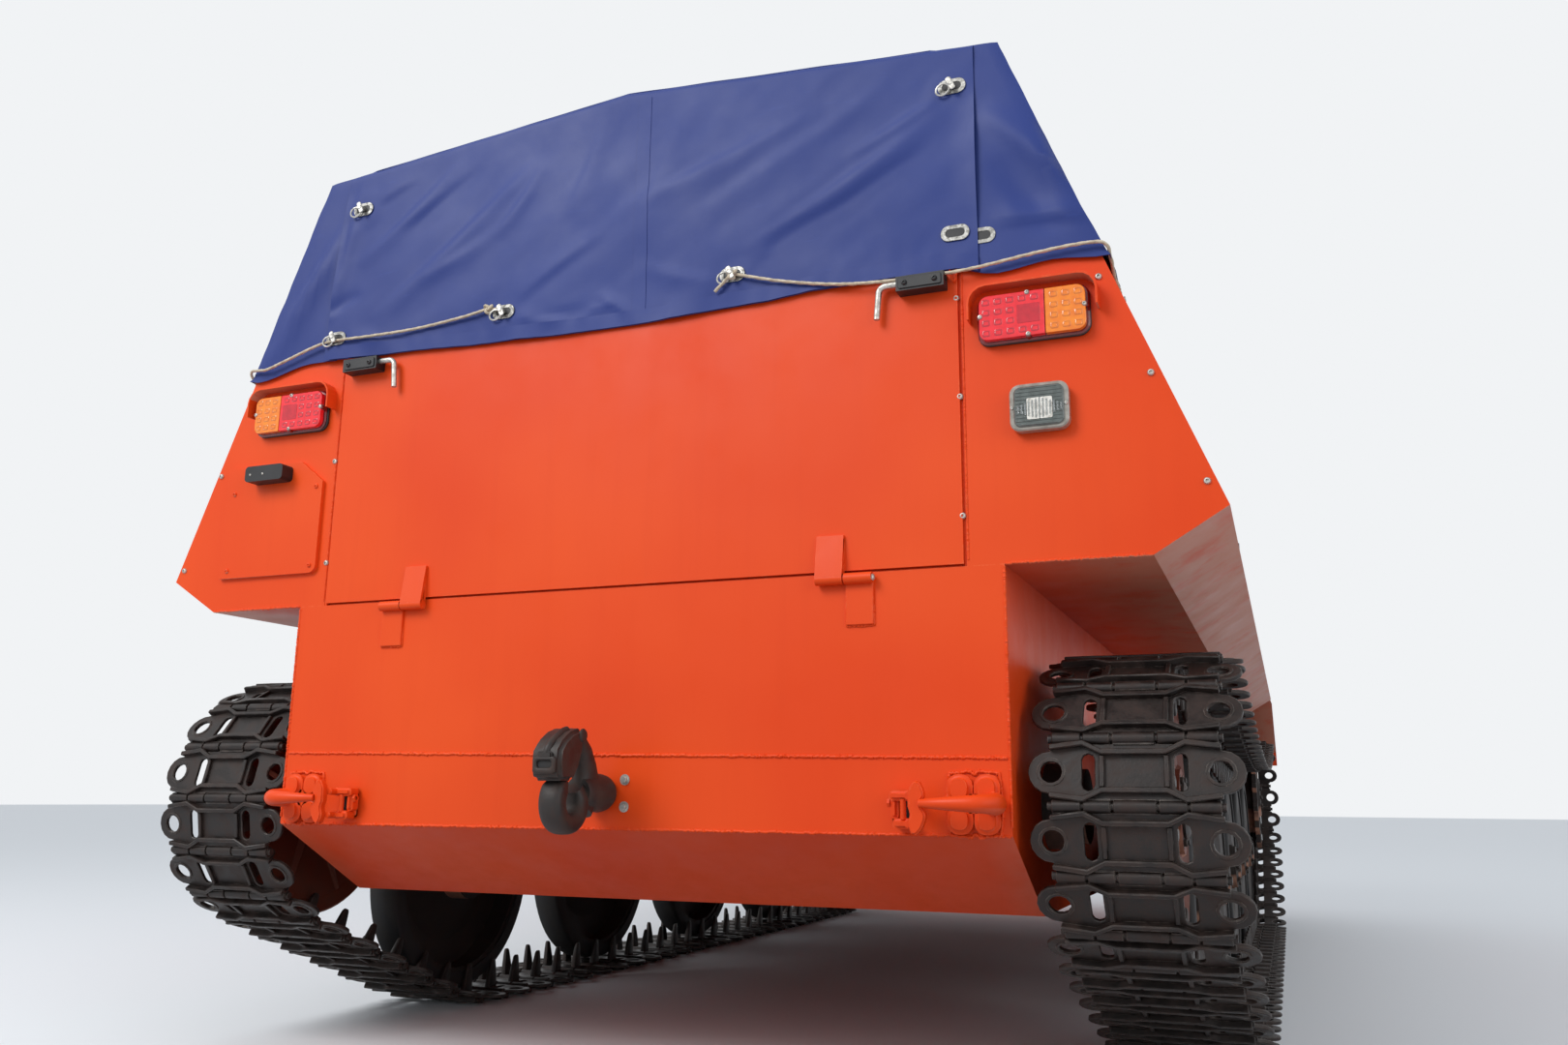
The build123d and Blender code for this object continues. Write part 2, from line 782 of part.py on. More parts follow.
def door_hinge_places():
    """Pins of the right door's two hinges, along the sloping front edge of the door."""
    up = side_plane.y_dir
    for height in (door_low + 130, door_high - 340):
        pin = side_plane.from_local_coords(Vector(door_front + seam / 2, height, lid_hinge_out))
        yield Plane(origin=pin, x_dir=up, z_dir=side_plane.z_dir)


def cab_panels():
    """Cab split where its panels meet: roof, front, back and the two sides."""
    shell = cab_shell()
    roof_low = roof_height - cab_wall
    roof = shell & block(-widest, widest, 0, nose_station, roof_low, roof_height + 1)
    rest = shell - block(-widest, widest, 0, nose_station, roof_low, roof_height + 1)
    back = rest & block(-widest, widest, 0, bed_length + cab_wall, 0, roof_height)
    rest -= block(-widest, widest, 0, bed_length + cab_wall, 0, roof_height)
    lean = (cowl_station - roof_front) / (roof_height - cowl_height)
    shift = cab_wall * math.hypot(1, lean)
    top = roof_height + 10
    zone = [(cowl_station - cab_wall, 0), (cowl_station + 9, 0), (cowl_station + 9, top),
            (cowl_station - shift - (top - cowl_height) * lean, top),
            (cowl_station - shift + 30 * lean, cowl_height - 30), (cowl_station - cab_wall, cowl_height - 30)]
    ahead = yz_prism(zone, -widest, widest)
    front = rest & ahead
    right = (rest - ahead) & block(0, widest, 0, nose_station, 0, roof_height)
    return roof, front, back, right


def screen_opening(grow):
    """Right windscreen opening, as an outline in (x, distance up the screen)."""
    low = screen_low - grow
    high = math.hypot(roof_height - cowl_height, cowl_station - roof_front) - screen_margin + grow
    inner, wide, top = 55 - grow, side_x(cowl_height) - 150 + grow, side_x(roof_height) - 105 + grow
    return [(inner, low), (wide, low), (top, high), (inner, high)]


def screen_prism(grow, inner, outer):
    rise = roof_height - cowl_height
    run = cowl_station - roof_front
    size = math.hypot(rise, run)
    out = (0, rise / size, run / size)
    place = Plane(origin=(0, cowl_station, cowl_height), x_dir=(1, 0, 0), z_dir=out)
    shape = place.offset(inner) * polygon([(x, -up) for x, up in screen_opening(grow)])
    return extrude(shape, outer - inner, dir=place.z_dir)


def build_cab():
    roof, front, back, right = cab_panels()
    for side in (1, -1):
        x = side * hatch_place
        roof -= block(x - hatch_size / 2, x + hatch_size / 2, hatch_station, hatch_station + hatch_size,
                      roof_height - cab_wall - 1, roof_height + 1)
        for place in roof_hinge_places(side):
            roof += barrel_hinge(place)[1]
    screen = screen_prism(0, -cab_wall - 20, 20)
    front -= screen
    front -= mirrored(screen)
    back -= block(-back_half, back_half, 0, bed_length + cab_wall + 1, sill_height, roof_height - back_head)
    slab = right
    right -= on_side(door_outline(seam), -cab_wall - 20, 20)
    right -= on_side(side_window(0), -cab_wall - 20, 20)
    door = slab & on_side(door_outline(0), -cab_wall - 20, 20)
    door -= on_side(door_window(0), -cab_wall - 20, 20)
    for place in door_hinge_places():
        moving, fixed = barrel_hinge(place)
        door += moving
        right += fixed
    handle = [(door_rear + 40, 330), (door_rear + 170, 330), (door_rear + 170, 352), (door_rear + 40, 352)]
    door += on_side(handle, 0, 26)
    glass = 6
    pieces["cab_roof"] = roof
    pieces["cab_front"] = front
    pieces["cab_back"] = back
    pieces["cab_side_right"], pieces["cab_side_left"] = right, mirrored(right)
    pieces["door_right"], pieces["door_left"] = door, mirrored(door)
    pane = on_side(door_window(-0.3), -cab_wall / 2 - glass / 2, -cab_wall / 2 + glass / 2)
    pieces["door_glass_right"], pieces["door_glass_left"] = pane, mirrored(pane)
    fixed = both(screen_prism(-0.3, -cab_wall / 2 - glass / 2, -cab_wall / 2 + glass / 2))
    fixed += both(on_side(side_window(-0.3), -cab_wall / 2 - glass / 2, -cab_wall / 2 + glass / 2))
    middle = bed_length + cab_wall / 2
    fixed.append(block(-back_half + 0.3, back_half - 0.3, middle - glass / 2, middle + glass / 2,
                       sill_height + 0.3, roof_height - back_head - 0.3))
    pieces["cab_glass"] = fixed


def roof_hatch(side):
    """Lid over one seat, hinged at its rear edge."""
    x = side * hatch_place
    half = hatch_size / 2 - seam
    y0, y1 = hatch_station + seam, hatch_station + hatch_size - seam
    lid = block(x - half, x + half, y0, y1, roof_height - cab_wall, roof_height)
    lid += block(x - half + 30, x + half - 30, y0 + 30, y1 - 30, roof_height, roof_height + 10)
    for place in roof_hinge_places(side):
        lid += barrel_hinge(place)[0]
    return lid


def roof_hinge_places(side):
    """Pins of one roof hatch, along its rear edge."""
    x, y = side * hatch_place, hatch_station + seam / 2
    z = roof_height + lid_hinge_out
    return [Plane(origin=(x + dx, y, z), x_dir=(1, 0, 0), z_dir=(0, 0, 1)) for dx in (-160, 160)]


def cab_floor():
    room = hull_half - hull_plate
    floor = block(-room, room, bed_length, cowl_station - 40, cab_floor_height, cab_floor_height + 8)
    hole = engine_half + 20
    return floor - block(-hole, hole, engine_station - 20, engine_station + engine_length + 20,
                         cab_floor_height - 1, cab_floor_height + 9)


def engine_block():
    ahead = engine_station + engine_length
    return block(-engine_half, engine_half, engine_station, ahead, engine_low, engine_high)


def engine_cover():
    """Hollow hump over the engine, between the seats."""
    low, high = cab_floor_height + 8, engine_high + 70
    y0, y1 = engine_station - 60, engine_station + engine_length + 60
    hump = block(-hump_half, hump_half, y0, y1, low, high)
    hump = chamfer(hump.edges().filter_by(Axis.Y).group_by(Axis.Z)[-1], 60)
    return hump - block(-hump_half + 20, hump_half - 20, y0 + 20, y1 - 20, low - 1, high - 64)


def seat(side):
    """Seat with its cushion and back, on a box base."""
    x = side * seat_place
    half, rear, ahead = seat_width / 2, seat_station, seat_station + seat_length
    base = block(x - half + 30, x + half - 30, rear + 60, ahead - 60, cab_floor_height + 8, seat_low)
    cushion = block(x - half, x + half, rear + 40, ahead, seat_low, seat_high)
    outline = [(rear + 60, seat_high), (rear + 160, seat_high), (rear + 60, seat_top), (rear - 20, seat_top)]
    back = yz_prism(outline, x - half + 10, x + half - 10)
    return base, fillet(cushion.edges(), 22) + back


def dashboard():
    y, z = cowl_station - cab_wall, cowl_height
    line = [(y, z - 150), (y, z - 40), (y - 60, z - 30), (y - 250, z - 60), (y - 250, z - 130),
            (y - 120, z - 150)]
    half = side_x(cowl_height) - cab_wall - 27
    return yz_prism(line, -half, half)


def steering_levers():
    """Two steering levers in front of the driver's seat, on their floor bracket."""
    levers = []
    for x in (-seat_place - 110, -seat_place + 110):
        y, low = seat_station + 720, cab_floor_height + 8.3
        path = FilletPolyline((x, y, low), (x, y, 1120), (x, y - 80, 1260), radius=60)
        levers.append(sweep(Plane(origin=path @ 0, z_dir=path % 0) * Circle(11), path))
    return levers


# Rear fittings


def tow_hitch():
    """Pintle hook: round shank, and a ring open at the top for the tow eye."""
    shank = Pos(0, 0, hitch_height) * Rot(90, 0, 0) * Cylinder(
        shank_radius, ring_out - ring_bore - 20, align=(Align.CENTER, Align.CENTER, Align.MIN))
    y, z = -ring_out, hitch_height - ring_drop
    hinge = hitch_height + keeper_rise
    ring = Cylinder(ring_radius, hook_width) - Cylinder(ring_bore, hook_width + 2)
    rims = [edge for edge in ring.edges().filter_by(GeomType.CIRCLE) if edge.radius > ring_bore + 1]
    ring = chamfer(rims, 9)
    ring = Pos(0, y, z) * Rot(0, 90, 0) * ring
    wide, high = hook_width, z + ring_radius + 1
    ring -= block(-wide, wide, y - ring_radius - 1, y + ring_bore - 6, z + keeper_gap, high)
    ring -= block(-wide, wide, y - ring_bore, y + ring_bore, z, high)
    neck = yz_prism([(y + ring_radius - 4, z - 14), (y + ring_radius + 8, z + 50), (y + 34, hinge - 4),
                     (y + 14, hinge + 8), (y - 3, hinge - 4), (y + ring_bore, z + 56), (y + ring_bore, z)],
                    -hook_width / 2, hook_width / 2)
    return shank + ring + neck


def hitch_keeper():
    """Hinged keeper that lies across the mouth of the hook, with the slot of its catch."""
    y, z = -ring_out, hitch_height - ring_drop
    low, hinge = z + keeper_gap + 0.3, hitch_height + keeper_rise
    front = -hitch_reach
    outline = [(front, low), (front, hinge - 14), (front + 34, hinge + 10), (y + 8, hinge + 14),
               (y - 6, hinge - 8), (y - 8, low + 14), (y - 20, low)]
    box = yz_prism(outline, -keeper_width / 2, keeper_width / 2)
    slot = block(-keeper_width / 2 + 14, keeper_width / 2 - 14, front - 1, front + 14, low + 16, low + 34)
    return box - slot


def tow_hook(side):
    """Forged hook on the rear plate: two pads, a tapered horn open to the middle, and its latch."""
    z, x = hook_height, hook_place
    width, height, proud = hook_pad
    pads = block(x - width / 2, x + width / 2, -proud, 0, z - height / 2, z + height / 2)
    half, waist = width / 2 + 1, hook_base / 2
    pads -= block(x - half, x + half, -proud - 1, -proud + 8, z - waist, z + waist)
    pads = chamfer(pads.edges().filter_by(Axis.Y), 9)
    reach = hook_reach
    horn_outline = make_face([
        Line((x - 10, 0), (x + 46, 0)), Line((x + 46, 0), (x + 66, -28)),
        ThreePointArc((x + 66, -28), (x + 66, -reach + 34), (x + 44, -reach + 6)),
        ThreePointArc((x + 44, -reach + 6), (x - 20, -reach), (x - 108, -reach + 10)),
        ThreePointArc((x - 108, -reach + 10), (x - 118, -reach + 21), (x - 106, -reach + 30)),
        ThreePointArc((x - 106, -reach + 30), (x - 40, -reach + 30), (x - 6, -reach + 44)),
        ThreePointArc((x - 6, -reach + 44), (x + 4, -34), (x - 10, 0)),
    ])
    horn = Pos(0, 0, z - hook_base / 2) * extrude(horn_outline, hook_base)
    tip, base = hook_tip / 2, hook_base / 2
    taper = polygon([(x - 120, z - tip), (x + 10, z - base), (x + 80, z - base), (x + 80, z + base),
                     (x + 10, z + base), (x - 120, z + tip)])
    horn &= Pos(0, -reach - 10, 0) * extrude(Plane.XZ * taper, reach + 20, dir=(0, 1, 0))
    end = x - latch_reach
    frame = block(end, end + 46, -34, 0, z - 28, z + 26)
    frame -= block(end + 12, end + 34, -35, -8, z - 14, z + 14)
    blade = polygon([(end + 36, z - 6), (end + 44, z - 46), (end + 56, z - 48), (end + 74, z - 12),
                     (end + 74, z + 10), (end + 54, z + 44), (end + 42, z + 42), (end + 36, z + 20)])
    latch = frame + rod_x(end + 8, end + 40, -20, z, 7)
    latch += Pos(0, -hook_reach + 30.3, 0) * extrude(Plane.XZ * blade, 16, dir=(0, 1, 0))
    latch += block(end + 38, end + 46, -hook_reach + 40, -20, z - 10, z + 10)
    hook = pads + horn + latch
    return hook if side > 0 else mirrored(hook)


def tail_lamp():
    half, tall = lamp_width / 2, lamp_height / 2
    x, z = lamp_place, lamp_middle
    lamp = block(x - half, x + half, -lamp_depth, 0, z - tall, z + tall)
    return fillet(lamp.edges().filter_by(Axis.Y), lamp_corner)


def lamp_hood():
    """Sheet hood that goes round the top and sides of a tail lamp."""
    half, top = lamp_width / 2 + hood_gap, lamp_middle + lamp_height / 2 + hood_gap
    bend = [math.radians(22.5 * i) for i in range(5)]
    corner = [(-half, lamp_middle)] + [
        (-half + hood_bend * (1 - math.cos(a)), top - hood_bend * (1 - math.sin(a))) for a in bend]
    line = [(lamp_place + x, z) for x, z in corner + [(-x, z) for x, z in corner[::-1]]]
    return xz_prism(plate(line, hood_thickness), -lamp_depth - hood_thickness, 0)


def reversing_lamp():
    width, height, depth = reverse_size
    lamp = Pos(reverse_place, -depth / 2, reverse_middle) * Box(width, depth, height)
    return fillet(lamp.edges().filter_by(Axis.Y), 16)


def plate_lamp():
    """Number plate lamp on the socket flap."""
    width, height, depth = plate_lamp_size
    lamp = Pos(-plate_lamp_place, -flap_proud - depth / 2, plate_lamp_middle) * Box(width, depth, height)
    return fillet(lamp.edges().filter_by(Axis.Y), 10)


def socket_cover():
    """Screwed cover plate of the lead sockets, on the left rear panel."""
    low, high, inner, outer = flap_low, flap_high, -flap_inner, -flap_outer
    outline = [(outer, low), (inner, low), (inner, high - flap_cut), (inner - flap_slant, high),
               (outer, high)]
    cover = xz_prism(outline, -flap_proud, 0)
    return fillet(cover.edges().filter_by(Axis.Y).group_by(Axis.Z)[0].sort_by(Axis.X)[-1], flap_corner)


def headlamps():
    """Round headlamps, each on a foot that stands on the front deck."""
    lamps = []
    (y0, z0), (y1, z1) = glacis()[1:]
    slope = (z1 - z0) / (y0 - y1)
    y, z = nose_station - headlamp_back, nose_high + headlamp_rise
    foot = headlamp_radius / 3
    for x in (-headlamp_place, headlamp_place):
        bowl = Cylinder(headlamp_radius, 110) + Pos(0, 0, -62) * Cylinder(headlamp_radius - 15, 14)
        stem = yz_prism([(y - foot, z0 + (y0 - y + foot) * slope), (y + foot, z0 + (y0 - y - foot) * slope),
                         (y + foot, z - 60), (y - foot, z - 60)], x - 20, x + 20)
        lamps.append(Pos(x, y, z) * Rot(90, 0, 0) * bowl + stem)
    return lamps


def mirror_arm():
    """Wing mirror on a bent tube from a pad on the cab's front corner."""
    up, half = up_side(mirror_height), mirror_pad / 2
    x, y = side_x(mirror_height), roof_front + mirror_ahead
    rear, ahead, low, high = y - half, y + half, up - half, up + half
    pad = on_side([(rear, low), (ahead, low), (ahead, high), (rear, high)], 0, 6)
    width, height, depth = mirror_size
    low, middle = mirror_height + mirror_pad, x + width / 2 + 8
    elbow = (middle, y + depth, mirror_height + 12)
    path = FilletPolyline((x + 5, y, mirror_height + 2), elbow, (middle, y + depth, low + 10), radius=20)
    tube = sweep(Plane(origin=path @ 0, z_dir=path % 0) * Circle(mirror_tube), path)
    head = block(middle - width / 2, middle + width / 2, y + depth / 2, y + 1.5 * depth, low, low + height)
    return pad + tube + head


def front_hook(side):
    """Tow horn of round bar on the nose plate, bent up at its end."""
    x, tip = side * front_hook_place, nose_station + front_reach - front_hook_bar
    low, high = nose_low + 40, nose_low + 100
    path = FilletPolyline((x, nose_station, low), (x, tip, low), (x, tip, high), radius=20)
    return sweep(Plane(origin=path @ 0, z_dir=path % 0) * Circle(front_hook_bar), path)


def build_running_gear():
    right = track()
    pieces["track_right"], pieces["track_left"] = right, mirrored(right)
    for name, shapes in (("road_wheels", road_wheels()), ("wheel_tyres", wheel_tyres()),
                         ("swing_arms", [arm(y, wheel_height) for y in wheel_stations()]),
                         ("idlers", [idler()]), ("idler_axles", [idler_axle()]),
                         ("sprockets", [sprocket()]), ("final_drives", [final_drive()])):
        pieces[name] = shapes + [mirrored(shape) for shape in shapes]


def build_hull():
    pieces["hull_tub"] = hull_tub()
    pieces["nose_deck"] = nose_deck()
    pieces["nose_hatch"] = nose_hatch()
    right = sponson()
    pieces["sponson_right"], pieces["sponson_left"] = right, mirrored(right)
    panel = rear_panel()
    pieces["rear_panel_right"] = panel
    pieces["rear_panel_left"] = mirrored(panel)


def build_bed():
    pieces["tailgate"] = tailgate()
    pieces["gate_hinges"] = [gate_hinge(place) for place in hinge_places]
    pieces["bolt_housings"] = [bolt_housing(side) for side in (1, -1)]
    pieces["bolt_rods"] = [bolt_rod(side) for side in (1, -1)]
    pieces["load_cover"] = load_cover()
    pieces["cover_bows"] = cover_bows()
    pieces["cover_rope"] = cover_rope()
    pieces["cargo_floor"] = cargo_floor()
    pieces["benches"] = both(bench())


def build_cab_inside():
    pieces["cab_floor"] = cab_floor()
    pieces["engine_block"] = engine_block()
    pieces["engine_cover"] = engine_cover()
    seats = [seat(side) for side in (1, -1)]
    pieces["seat_bases"] = [base for base, _ in seats]
    pieces["seats"] = [cushion for _, cushion in seats]
    pieces["dashboard"] = dashboard()
    pieces["steering_levers"] = steering_levers()
    pieces["roof_hatch_right"], pieces["roof_hatch_left"] = roof_hatch(1), roof_hatch(-1)


def build_fittings():
    pieces["socket_cover"] = socket_cover()
    pieces["plate_lamp"] = plate_lamp()
    pieces["tail_lamps"] = both(tail_lamp())
    pieces["lamp_hoods"] = both(lamp_hood())
    pieces["reversing_lamp"] = reversing_lamp()
    pieces["tow_hitch"] = tow_hitch()
    pieces["hitch_keeper"] = hitch_keeper()
    pieces["tow_hooks"] = [tow_hook(side) for side in (1, -1)]
    pieces["front_hooks"] = [front_hook(side) for side in (1, -1)]
    pieces["headlamps"] = headlamps()
    pieces["mirrors"] = both(mirror_arm())


def write():
    os.makedirs("parts", exist_ok=True)
    home = Pos(0, -mid_station, 0)
    for name, shape in pieces.items():
        solids = [s for part in (shape if isinstance(shape, list) else [shape]) for s in part.solids()]
        moved = [home * s for s in solids]
        export_step(moved[0] if len(moved) == 1 else Compound(children=moved), f"parts/{name}.step")


build_running_gear()
build_hull()
build_bed()
build_cab()
build_cab_inside()
build_fittings()
write()
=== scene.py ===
"""Finish and fittings of a light tracked carrier with a cloth-covered load bed.

The steelwork of the carrier comes as a fixed frame. This script gives each surface
its finish and adds the pieces that are too fine for the frame: track shoes, cloth,
lamps, screws, weld beads, rope and seats. Sizes are in millimetres, with stations
measured forward from the outside of the rear plate, and become metres in Draft.
"""
import logging
import random
from dataclasses import dataclass, field
from enum import Enum
from math import asin, atan2, copysign, cos, dist, exp, hypot, pi, radians, sin, sqrt
from typing import Callable, Iterable, Sequence

import bmesh
import bpy
from mathutils import Matrix, Vector, noise


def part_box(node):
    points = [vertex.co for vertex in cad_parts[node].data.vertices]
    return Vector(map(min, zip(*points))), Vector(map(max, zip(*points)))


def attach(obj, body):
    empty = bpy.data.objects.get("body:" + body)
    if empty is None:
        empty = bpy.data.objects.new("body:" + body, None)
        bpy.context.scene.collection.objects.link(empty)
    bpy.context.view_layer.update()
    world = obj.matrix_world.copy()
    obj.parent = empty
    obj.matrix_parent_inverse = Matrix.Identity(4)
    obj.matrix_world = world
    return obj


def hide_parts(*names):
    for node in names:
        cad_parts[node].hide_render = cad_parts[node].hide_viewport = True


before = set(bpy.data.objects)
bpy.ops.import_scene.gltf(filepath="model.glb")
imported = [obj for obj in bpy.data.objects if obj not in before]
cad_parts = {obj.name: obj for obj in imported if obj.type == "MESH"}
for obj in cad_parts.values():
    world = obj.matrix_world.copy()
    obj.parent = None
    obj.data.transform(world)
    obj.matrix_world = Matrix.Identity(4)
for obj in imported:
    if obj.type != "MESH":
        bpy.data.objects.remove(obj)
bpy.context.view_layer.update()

log = logging.getLogger("carrier")

MM = 0.001
Point = tuple[float, float, float]
Flat = tuple[float, float]
Points = Sequence[Sequence[float]]
Socket = bpy.types.NodeSocket
REAR_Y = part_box("rear_panel_right")[0][1]


class Side(Enum):
    """Side of the carrier, as the sign of x."""

    RIGHT = 1
    LEFT = -1


def box_mm(node: str) -> tuple[Point, Point]:
    """Corners of a frame node in millimetres, with y as a station.

    Args:
        node: name of the node in the frame.

    Returns:
        The lowest and the highest corner.
    """
    return tuple((x / MM, (y - REAR_Y) / MM, z / MM) for x, y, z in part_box(node))


@dataclass(frozen=True)
class Body:
    """Main sizes of the hull and upper body, which the fittings follow."""

    widest: float = box_mm("sponson_right")[1][0]
    side_lean: float = 217.0
    side_rise: float = 555.0
    floor_height: float = box_mm("sponson_right")[0][2]
    chamfer_rise: float = 85.0
    bed_length: float = box_mm("cargo_floor")[1][1]
    hull_half: float = box_mm("hull_tub")[1][0]
    bend_height: float = 545.0
    gate_half: float = box_mm("tailgate")[1][0]

    @property
    def widest_height(self) -> float:
        """Height of the widest edge."""
        return self.floor_height + self.chamfer_rise

    @property
    def rail_height(self) -> float:
        """Height of the load bed's top rail."""
        return self.widest_height + self.side_rise

    @property
    def lean(self) -> float:
        """Inward run of the side for each millimetre of height."""
        return self.side_lean / self.side_rise

    def side_x(self, height: float) -> float:
        """Half width of the sloping side at a height."""
        return self.widest - (height - self.widest_height) * self.lean

    @property
    def side_out(self) -> Vector:
        """Unit normal of the right side."""
        return Vector((1, 0, self.lean)).normalized()


BODY = Body()


# Colour and shader helpers


def linear(colour: str) -> tuple[float, float, float, float]:
    """Turn an sRGB hex colour into linear values.

    Args:
        colour: six hex digits after a hash sign.

    Returns:
        Red, green, blue and alpha for a shader socket.
    """
    parts = [int(colour[i:i + 2], 16) / 255 for i in (1, 3, 5)]
    red, green, blue = (p / 12.92 if p <= 0.04045 else ((p + 0.055) / 1.055) ** 2.4 for p in parts)
    return (red, green, blue, 1.0)


def add_node(tree: bpy.types.NodeTree, kind: str, settings: dict | None = None,
             links: dict | None = None) -> bpy.types.Node:
    """Add a shader node with its settings and links.

    Args:
        tree: node tree that takes the node.
        kind: name of the node's type without its ShaderNode prefix.
        settings: attribute names or input sockets with their values.
        links: input sockets with the output sockets that feed them.

    Returns:
        The new node.
    """
    made = tree.nodes.new("ShaderNode" + kind)
    for key, value in (settings or {}).items():
        if isinstance(key, str) and hasattr(made, key):
            setattr(made, key, value)
        else:
            made.inputs[key].default_value = value
    for key, source in (links or {}).items():
        tree.links.new(made.inputs[key], source)
    return made


def seen_rays(tree: bpy.types.NodeTree) -> Socket:
    """Value that is 1 for rays that show the background: direct, mirrored or through glass."""
    path = add_node(tree, "LightPath").outputs
    seen = path["Is Camera Ray"]
    for other in ("Is Glossy Ray", "Is Transmission Ray"):
        seen = add_node(tree, "Math", {"operation": "MAXIMUM"}, {0: seen, 1: path[other]}).outputs[0]
    return seen


class Shader:
    """A material under construction: its tree, its surface shader and its coordinates."""

    def __init__(self, name: str) -> None:
        """Make an empty material with one Principled shader."""
        self.material = bpy.data.materials.new(name)
        self.material.use_nodes = True
        self.tree = self.material.node_tree
        self.surface = self.tree.nodes["Principled BSDF"]
        self.place = add_node(self.tree, "TexCoord").outputs["Object"]

    def noise(self, size: float, detail: float = 3.0, rough: float = 0.5,
              stretch: Point = (1, 1, 1)) -> Socket:
        """Noise whose blotches measure about size millimetres.

        Args:
            size: blotch size in millimetres.
            detail: octaves of finer noise.
            rough: strength of the finer octaves.
            stretch: how many times longer the blotches are along x, y and z.

        Returns:
            The noise value, about 0.25 to 0.75.
        """
        where = self.place
        if stretch != (1, 1, 1):
            scale = tuple(1 / s for s in stretch)
            where = add_node(self.tree, "Mapping", {"Scale": scale}, {"Vector": where}).outputs[0]
        settings = {"Scale": 1 / (size * MM), "Detail": detail, "Roughness": rough}
        return add_node(self.tree, "TexNoise", settings, {"Vector": where}).outputs["Fac"]

    def patches(self, size: float, low: float, high: float, top: float = 1.0, detail: float = 3.0,
                rough: float = 0.5, stretch: Point = (1, 1, 1)) -> Socket:
        """Mask of blotches: 0 where their noise is below low, top where it is above high."""
        limits = {"From Min": low, "From Max": high, "To Max": top}
        blotches = self.noise(size, detail, rough, stretch)
        return add_node(self.tree, "MapRange", limits, {"Value": blotches}).outputs[0]

    def between(self, vector: Socket, axis: int, low: float, high: float, top: float = 1.0) -> Socket:
        """Mask that grows from 0 to top while one coordinate of a vector goes from low to high."""
        part = add_node(self.tree, "SeparateXYZ", links={0: vector}).outputs[axis]
        limits = {"From Min": low, "From Max": high, "To Max": top}
        return add_node(self.tree, "MapRange", limits, {"Value": part}).outputs[0]

    def edges(self, radius: float) -> Socket:
        """Mask that is 1 on edges sharper than about 30 degrees, radius millimetres wide."""
        bevel = add_node(self.tree, "Bevel", {"samples": 4, "Radius": radius * MM}).outputs[0]
        flat = add_node(self.tree, "NewGeometry").outputs["Normal"]
        dot = add_node(self.tree, "VectorMath", {"operation": "DOT_PRODUCT"}, {0: bevel, 1: flat})
        limits = {"From Min": 0.97, "From Max": 0.82}
        return add_node(self.tree, "MapRange", limits, {"Value": dot.outputs["Value"]}).outputs[0]

    def overlap(self, whole: Socket, *masks: Socket) -> Socket:
        """Mask that is high only where all of several masks are."""
        for mask in masks:
            whole = add_node(self.tree, "Math", {"operation": "MULTIPLY"}, {0: whole, 1: mask}).outputs[0]
        return whole

    def paint(self, base: str, *coats: tuple[Socket, str]) -> None:
        """Give the surface a base colour with others over it, each through its mask."""
        below, under = {6: linear(base)}, {}
        for mask, over in coats:
            colour = add_node(self.tree, "Mix", {"data_type": "RGBA", 7: linear(over), **below},
                              {"Factor": mask, **under}).outputs[2]
            below, under = {}, {6: colour}
        self.feed("Base Color", colour)

    def roughen(self, start: float, *shares: tuple[Socket, float]) -> None:
        """Set the roughness to a start value plus each mask times its span."""
        first, sum_so_far = {2: start}, {}
        for mask, span in shares:
            rough = add_node(self.tree, "Math", {"operation": "MULTIPLY_ADD", 1: span, **first},
                             {0: mask, **sum_so_far}).outputs[0]
            first, sum_so_far = {}, {2: rough}
        self.feed("Roughness", rough)

    def bump(self, layers: Sequence[tuple[Socket, float, float]]) -> None:
        """Stack bump layers, each a height, its depth in millimetres and its strength."""
        below = {}
        for height, depth, strength in layers:
            settings = {"Strength": strength, "Distance": depth * MM}
            normal = add_node(self.tree, "Bump", settings, {"Height": height, **below}).outputs[0]
            below = {"Normal": normal}
        self.feed("Normal", normal)

    def feed(self, socket: str, source: Socket) -> None:
        """Link a value or colour to one of the surface shader's sockets."""
        self.tree.links.new(self.surface.inputs[socket], source)

    def fix(self, **values: float) -> None:
        """Set the surface shader's plain sockets, with underscores for spaces."""
        for key, value in values.items():
            self.surface.inputs[key.replace("_", " ")].default_value = value


class Finish:
    """A surface finish, whose material is made once and then shared."""

    made: dict[str, bpy.types.Material] = {}
    name: str
    slot: str

    def material(self) -> bpy.types.Material:
        """The finish's material."""
        if self.name not in Finish.made:
            shader = Shader(self.name)
            self.build(shader)
            Finish.made[self.name] = shader.material
        return Finish.made[self.name]

    def build(self, shader: Shader) -> None:
        """Fill the material's nodes."""
        raise NotImplementedError(shader.material.name)


